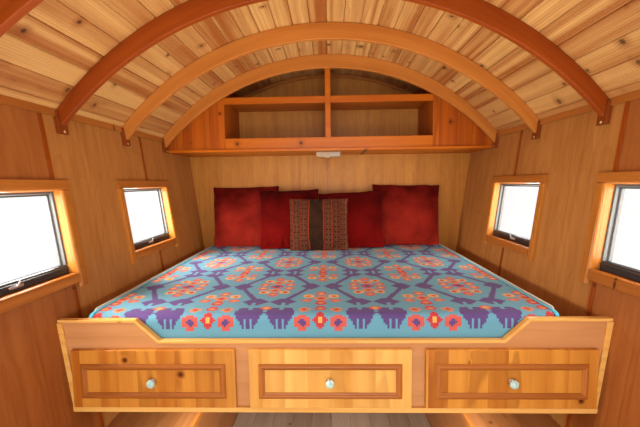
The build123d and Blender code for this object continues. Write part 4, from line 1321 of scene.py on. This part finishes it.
def makeMattress():
    look = mattressLook
    low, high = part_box("mattress")
    ticking = cloths["ticking"]
    piece = softened("mattress", ticking, look["edge"], limit=40)
    piece.name = "mattress.cover"
    fit(piece, replaces=["mattress"])
    # a piped seam runs round the lower edge and up to the head on both sides
    out, size = look["cordOut"], look["corner"]
    head, foot, z = high.y - look["headGap"], low.y + size + look["headGap"], low.z + look["cordUp"]
    quarter = [k * math.pi / 16 for k in range(9)]
    path = [Vector((low.x - out, head, z))]
    for x, start in ((low.x + size, math.pi), (high.x - size, 1.5 * math.pi)):
        spot = Vector((x, low.y + size, z))
        path += [spot + Vector((math.cos(start + a), math.sin(start + a), 0)) * (size + out) for a in quarter]
    path.append(Vector((high.x + out, head, z)))
    fit(tube("mattressPiping", path, look["cord"], ticking))
    # a thicker cord stands on the top edge of each side, outside the blanket, and dips at the front corner
    steps, reach = look["rimSteps"], size - look["rimInset"]
    for name, x, way in (("Left", low.x, 1), ("Right", high.x, -1)):
        x += way * look["rimInset"]
        rim = [Vector((x, head - (head - foot) * k / steps, high.z)) for k in range(steps + 1)]
        for a in quarter[1:]:
            dip = look["rimDip"] * (a / quarter[-1]) ** 2
            spot = (x + way * reach * (1 - math.cos(a)), foot - reach * math.sin(a), high.z - dip)
            rim.append(Vector(spot))
        fit(tube("mattressRim" + name, rim, look["rimCord"], ticking))
    return piece


def blanketPoint(s, t):
    # where the flat cloth's point (s across, t forward of the back edge) lies on the bed
    look = blanketLook
    low, high = blanketBox
    middle = (low.x + high.x) / 2
    dx = abs(s - middle) - (high.x - low.x) / 2 + look["roll"] + look["corner"]
    dy = low.y + look["frontRoll"] + look["corner"] - t
    side = 1 if s > middle else -1
    if dx > 0 and dy > 0:
        size = math.hypot(dx, dy)
        out = Vector((side * dx / size, -dy / size))
    else:
        size = max(dx, dy)
        out = Vector((side, 0)) if dx > dy else Vector((0, -1))
    past = size - look["corner"]
    if past <= 0:
        return Vector((s, t, high.z)), past
    radius = look["roll"] * abs(out.x) + look["frontRoll"] * abs(out.y)
    turn = min(past / radius, math.pi / 2)
    fall = radius * (1 - math.cos(turn)) + max(0.0, past - radius * math.pi / 2)
    flat = Vector((s, t)) - out * past + out * radius * math.sin(turn)
    return Vector((flat.x, flat.y, high.z - fall)), past


def blanketLift(s, t, past):
    # small creases, most of them near the long edges, and gathered folds at the two back corners
    low, high = blanketBox
    edge = min(s - low.x, high.x - s)
    ripple = noise.noise(Vector((s * 2.2, t * 16.0, 3.1))) * 0.0032 * math.exp(-max(edge, 0) / 0.22)
    soft = noise.noise(Vector((s * 5.0, t * 5.0, 8.2))) * 0.0016
    back = math.exp(-((high.y - t) / 0.085) ** 2)
    corner = math.exp(-(max(edge, 0) / 0.10) ** 2)
    heap = back * corner * (0.030 + 0.022 * noise.noise(Vector((s * 26.0, t * 22.0, 5.0))))
    return ripple + soft * (1 if past < 0 else 0.4) - 0.0018 + heap


def makeBlanket(mattress):
    look = blanketLook
    low, high = blanketBox
    left, right = low.x + look["inset"], high.x - look["inset"]
    hem, back = low.y + look["frontRoll"] - look["frontDrop"], high.y - look["backGap"]
    columns, rows = look["columns"], look["rows"]
    points, cloth = [], []
    for j in range(rows + 1):
        t = hem + (back - hem) * j / rows
        for i in range(columns + 1):
            s = left + (right - left) * i / columns
            spot, past = blanketPoint(s, t)
            spot.z += blanketLift(s, t, past)
            points.append(spot)
            cloth += [s - (left + right) / 2, t - hem + look["patternStart"], 0]
    piece = makePiece("blanketSheet", points, gridFaces(columns, rows), cloths["blanket"], smooth=True)
    mark(piece, "cloth", "FLOAT_VECTOR", "vector", cloth)
    thicken(piece, look["thick"], -1)
    fit(piece, replaces=["blanket"])

    # the bound edge
    corners = [(left, back), (left, hem), (right, hem), (right, back)]
    count = look["bindingSteps"]
    path = corners[:1]
    for (s, t), (nextS, nextT) in zip(corners, corners[1:]):
        path += [(s + (nextS - s) * k / count, t + (nextT - t) * k / count) for k in range(1, count + 1)]
    spots, ups = [], []
    for s, t in path:
        spot, past = blanketPoint(s, t)
        spot.z += blanketLift(s, t, past) - look["thick"] / 2
        spots.append(spot)
        ups.append(Vector((0, -1, 0)) if t <= hem + 0.001 else Vector((-0.4 if s < 0 else 0.4, -0.3, 1)))
    half, flat = look["bindingHalf"], look["bindingFlat"]
    binding = tube("blanketBinding", spots, half, cloths["binding"], sides=10, flat=flat, up=ups)
    fit(binding)


# turn and lean are in degrees, and air holds the settings of Blender's cloth
cushionLook = {
    "grid": 36, "frames": 24, "waist": 0.040, "flare": 0.055, "lean": 12, "clear": 0.0006, "fill": 0.7,
    "air": {
        "quality": 5, "mass": 0.25, "tension_stiffness": 15, "compression_stiffness": 15,
        "shear_stiffness": 6, "bending_stiffness": 0.35, "shrink_min": -0.075,
        "vertex_group_mass": "rim", "pin_stiffness": 1,
        "use_pressure": True, "uniform_pressure_force": 9.0,
    },
    "pieces": {
        "outer_left": {"cloth": "red", "turn": 0.8, "thick": 0.150, "seed": 1},
        "outer_right": {"cloth": "red", "turn": -1.2, "thick": 0.150, "seed": 2},
        "inner_left": {"cloth": "redDeep", "turn": 0.4, "thick": 0.140, "seed": 3},
        "inner_right": {"cloth": "redDeep", "turn": 2.6, "thick": 0.136, "seed": 4},
        "centre": {"cloth": "band", "turn": 0.3, "thick": 0.128, "seed": 5},
    },
}


def pillowcase(name, width, height, seed):
    # two squares of cloth joined round their edge, drawn in a little between the corners
    n, waist = cushionLook["grid"], cushionLook["waist"]
    points, cloth, faces, index, rims = [], [], [], {}, []
    for layer in (1, -1):
        for j in range(n + 1):
            for i in range(n + 1):
                u, v = 2 * i / n - 1, 2 * j / n - 1
                rim = i in (0, n) or j in (0, n)
                if rim and layer < 0:
                    index[(layer, i, j)] = index[(1, i, j)]
                    continue
                index[(layer, i, j)] = len(points)
                if rim:
                    rims.append(len(points))
                sway = noise.noise(Vector((u * 2.5, v * 2.5, seed * 3.3))) * 0.006
                x = u * width / 2 * (1 - waist * (1 - v * v)) + sway
                y = v * height / 2 * (1 - waist * (1 - u * u)) + sway
                inner = (1 - u * u) * (1 - v * v)
                chance = noise.noise(Vector((u * 6, v * 6, seed * 7.7 + layer))) * 0.006
                lift = 0 if rim else layer * (0.020 * inner + 0.002) + chance * inner
                points.append((x, y, lift))
                cloth += [u * width / 2, v * height / 2, layer]
    for layer in (1, -1):
        for j in range(n):
            for i in range(n):
                quad = [index[(layer, i + a, j + b)] for a, b in ((0, 0), (1, 0), (1, 1), (0, 1))]
                faces.append(quad if layer > 0 else quad[::-1])
    piece = makePiece(name, points, faces, smooth=True)
    mark(piece, "cloth", "FLOAT_VECTOR", "vector", cloth)
    piece.vertex_groups.new(name="rim").add(rims, 1.0, "ADD")
    return piece


def puffUp(pieces):
    # blows the cases up with Blender's cloth, all in one run, held along their seams
    for piece in pieces:
        air = piece.modifiers.new("air", "CLOTH")
        for key, value in cushionLook["air"].items():
            setattr(air.settings, key, value)
        air.settings.effector_weights.gravity = 0
        air.collision_settings.use_collision = False
    for number in range(1, cushionLook["frames"] + 1):
        scene.frame_set(number)
    for piece in pieces:
        settle(piece)
    scene.frame_set(1)


def seatCushion(piece, node, look):
    # shapes the puffed case to its place: leaning back, standing on the blanket, clear of what is behind
    low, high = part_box(node)
    points = piece.data.vertices
    spread = [max(v.co[k] for v in points) - min(v.co[k] for v in points) for k in range(3)]
    lean = math.radians(cushionLook["lean"])
    turn = Matrix.Rotation(math.radians(look["turn"]), 3, "Z")
    width = (high.x - low.x) / spread[0]
    height = (high.z - low.z) / math.cos(lean) / spread[1]
    floor = low.z + cushionLook["clear"]
    for v in points:
        flat = turn @ Vector((v.co.x * width, v.co.y * height, v.co.z * look["thick"] / spread[2]))
        x = flat.x * (1 + cushionLook["flare"] * flat.y / 0.5)
        y = -flat.z * math.cos(lean) + flat.y * math.sin(lean)
        z = flat.y * math.cos(lean) + flat.z * math.sin(lean)
        v.co = Vector((x, y, z))
    # a few of the lowest and hindmost points are left to be flattened
    bottom = sorted(v.co.z for v in points)[len(points) // 60]
    behind = sorted(v.co.y for v in points)[-len(points) // 90]
    shift = Vector(((low.x + high.x) / 2, high.y - behind, floor - bottom))
    for v in points:
        v.co += shift
        v.co.z = max(v.co.z, floor + (v.co.z - floor) * 0.05)
        v.co.y = min(v.co.y, bay["endFace"] - cushionLook["clear"])
    smooth = piece.modifiers.new("fine", "SUBSURF")
    smooth.levels = 1
    smooth.render_levels = 1
    settle(piece)


def makeCushions():
    cases = {}
    for name, look in cushionLook["pieces"].items():
        node = f"cushion_{name}"
        low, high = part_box(node)
        height = (high.z - low.z) / math.cos(math.radians(cushionLook["lean"]))
        cases[node] = pillowcase(camel(node), high.x - low.x, height, look["seed"])
    puffUp(list(cases.values()))
    for (node, piece), look in zip(cases.items(), cushionLook["pieces"].values()):
        seatCushion(piece, node, look)
        dress(piece, cloths[look["cloth"]])
        fit(piece, replaces=[node])


makeBlanket(makeMattress())
print("mattress and blanket made")
makeCushions()
print("cushions made")


# Setting: floor, world and lamps

setting = {
    "floor": "#DEDBD5", "floorSize": 30, "fadeFrom": 2.6, "fadeTo": 7.0,
    "sky": (0.93, 0.96, 1.0, 1), "world": 0.62,
    # each lamp's place, aim, size and power
    "lamps": {
        "frontLamp": ((0, -6.0, 2.0), (0, 0.6, 1.4), (3.2, 2.8), 118),
        "doorLamp": ((0, -3.3, 1.5), (0, -0.5, 1.0), (0.9, 0.9), 13),
        "footLamp": ((0, -3.0, 0.75), (0, 0.2, 0.15), (1.6, 0.5), 14),
        "underLamp": ((0, -0.45, 0.68), (0, -0.30, 0.0), (1.3, 0.5), 8.5),
        "upLamp": ((0, -0.5, 1.2), (0, -0.35, 2.2), (1.3, 1.8), 13),
        "leftLamp": ((-3.4, -0.3, 2.5), (-0.3, 0, 1.1), (1.8, 1.8), 180),
        "rightLamp": ((3.4, -0.1, 2.5), (0.3, 0, 1.1), (1.8, 1.8), 108),
    },
    # the same at each window, from its middle: out, along, up. The left side has the brighter sky.
    "windowLamp": ((0.12, 0, 0), (-1.0, 0, 0.1), (0.32, 0.48), 8.0),
    "skyLamp": ((0.45, 0, 0.38), (-0.30, 0, -0.30), (0.4, 0.6), 36),
}


def makeSetting():
    white = {"Color": (1, 1, 1, 1), "Strength": 1.0}
    floor = Finish("floorPaper", Roughness=0.9)
    x, y, z = floor.place()
    speckle = floor.cloud(floor.join(x, y, z), 3.0) * 0.1
    floor.paint(floor.mix(speckle, tone(setting["floor"]), white["Color"]))
    # far from the bay the floor runs into the white background
    far = ((x * x + y * y) ** 0.5).ramp(setting["fadeFrom"], setting["fadeTo"])
    paper = Wire(floor, floor.shader.outputs[0])
    glow = floor.node("Emission", {}, white)
    both = floor.node("MixShader", {}, {0: floor.seen() * far, 1: paper, 2: glow})
    floor.feed(floor.tree.nodes["Material Output"].inputs["Surface"], both)
    size = setting["floorSize"]
    corners = [(-size, -size, -0.001), (size, -size, -0.001), (size, size, -0.001), (-size, size, -0.001)]
    makePiece("studioFloor", corners, [(0, 1, 2, 3)], floor.material)

    scene.world = bpy.data.worlds.new("studio")
    scene.world.use_nodes = True
    sky = Nodes(scene.world.node_tree)
    sky.tree.nodes.clear()
    light = sky.node("Background", {}, {"Color": setting["sky"], "Strength": setting["world"]})
    both = sky.node("MixShader", {}, {0: sky.seen(), 1: light, 2: sky.node("Background", {}, white)})
    sky.feed(sky.tree.nodes.new("ShaderNodeOutputWorld").inputs["Surface"], both)


def addLamp(name, place, aim, size, power):
    data = bpy.data.lights.new(name, "AREA")
    data.shape = "RECTANGLE"
    data.size, data.size_y = size
    data.energy = power
    lamp = bpy.data.objects.new(name, data)
    scene.collection.objects.link(lamp)
    lamp.location = place
    lamp.rotation_euler = (Vector(aim) - Vector(place)).to_track_quat("-Z", "Y").to_euler()
    lamp.visible_camera = False


makeSetting()
for name, lamp in setting["lamps"].items():
    addLamp(name, *lamp)
for side, names in (("left", ("windowLamp", "skyLamp")), ("right", ("windowLamp",))):
    for y in windowLook["places"].values():
        for name in names:
            place, aim, size, power = setting[name]
            addLamp(name, wallPlace(side, y) @ Vector(place), wallPlace(side, y) @ Vector(aim), size, power)
print("lamps set")

scene.view_settings.view_transform = "Standard"
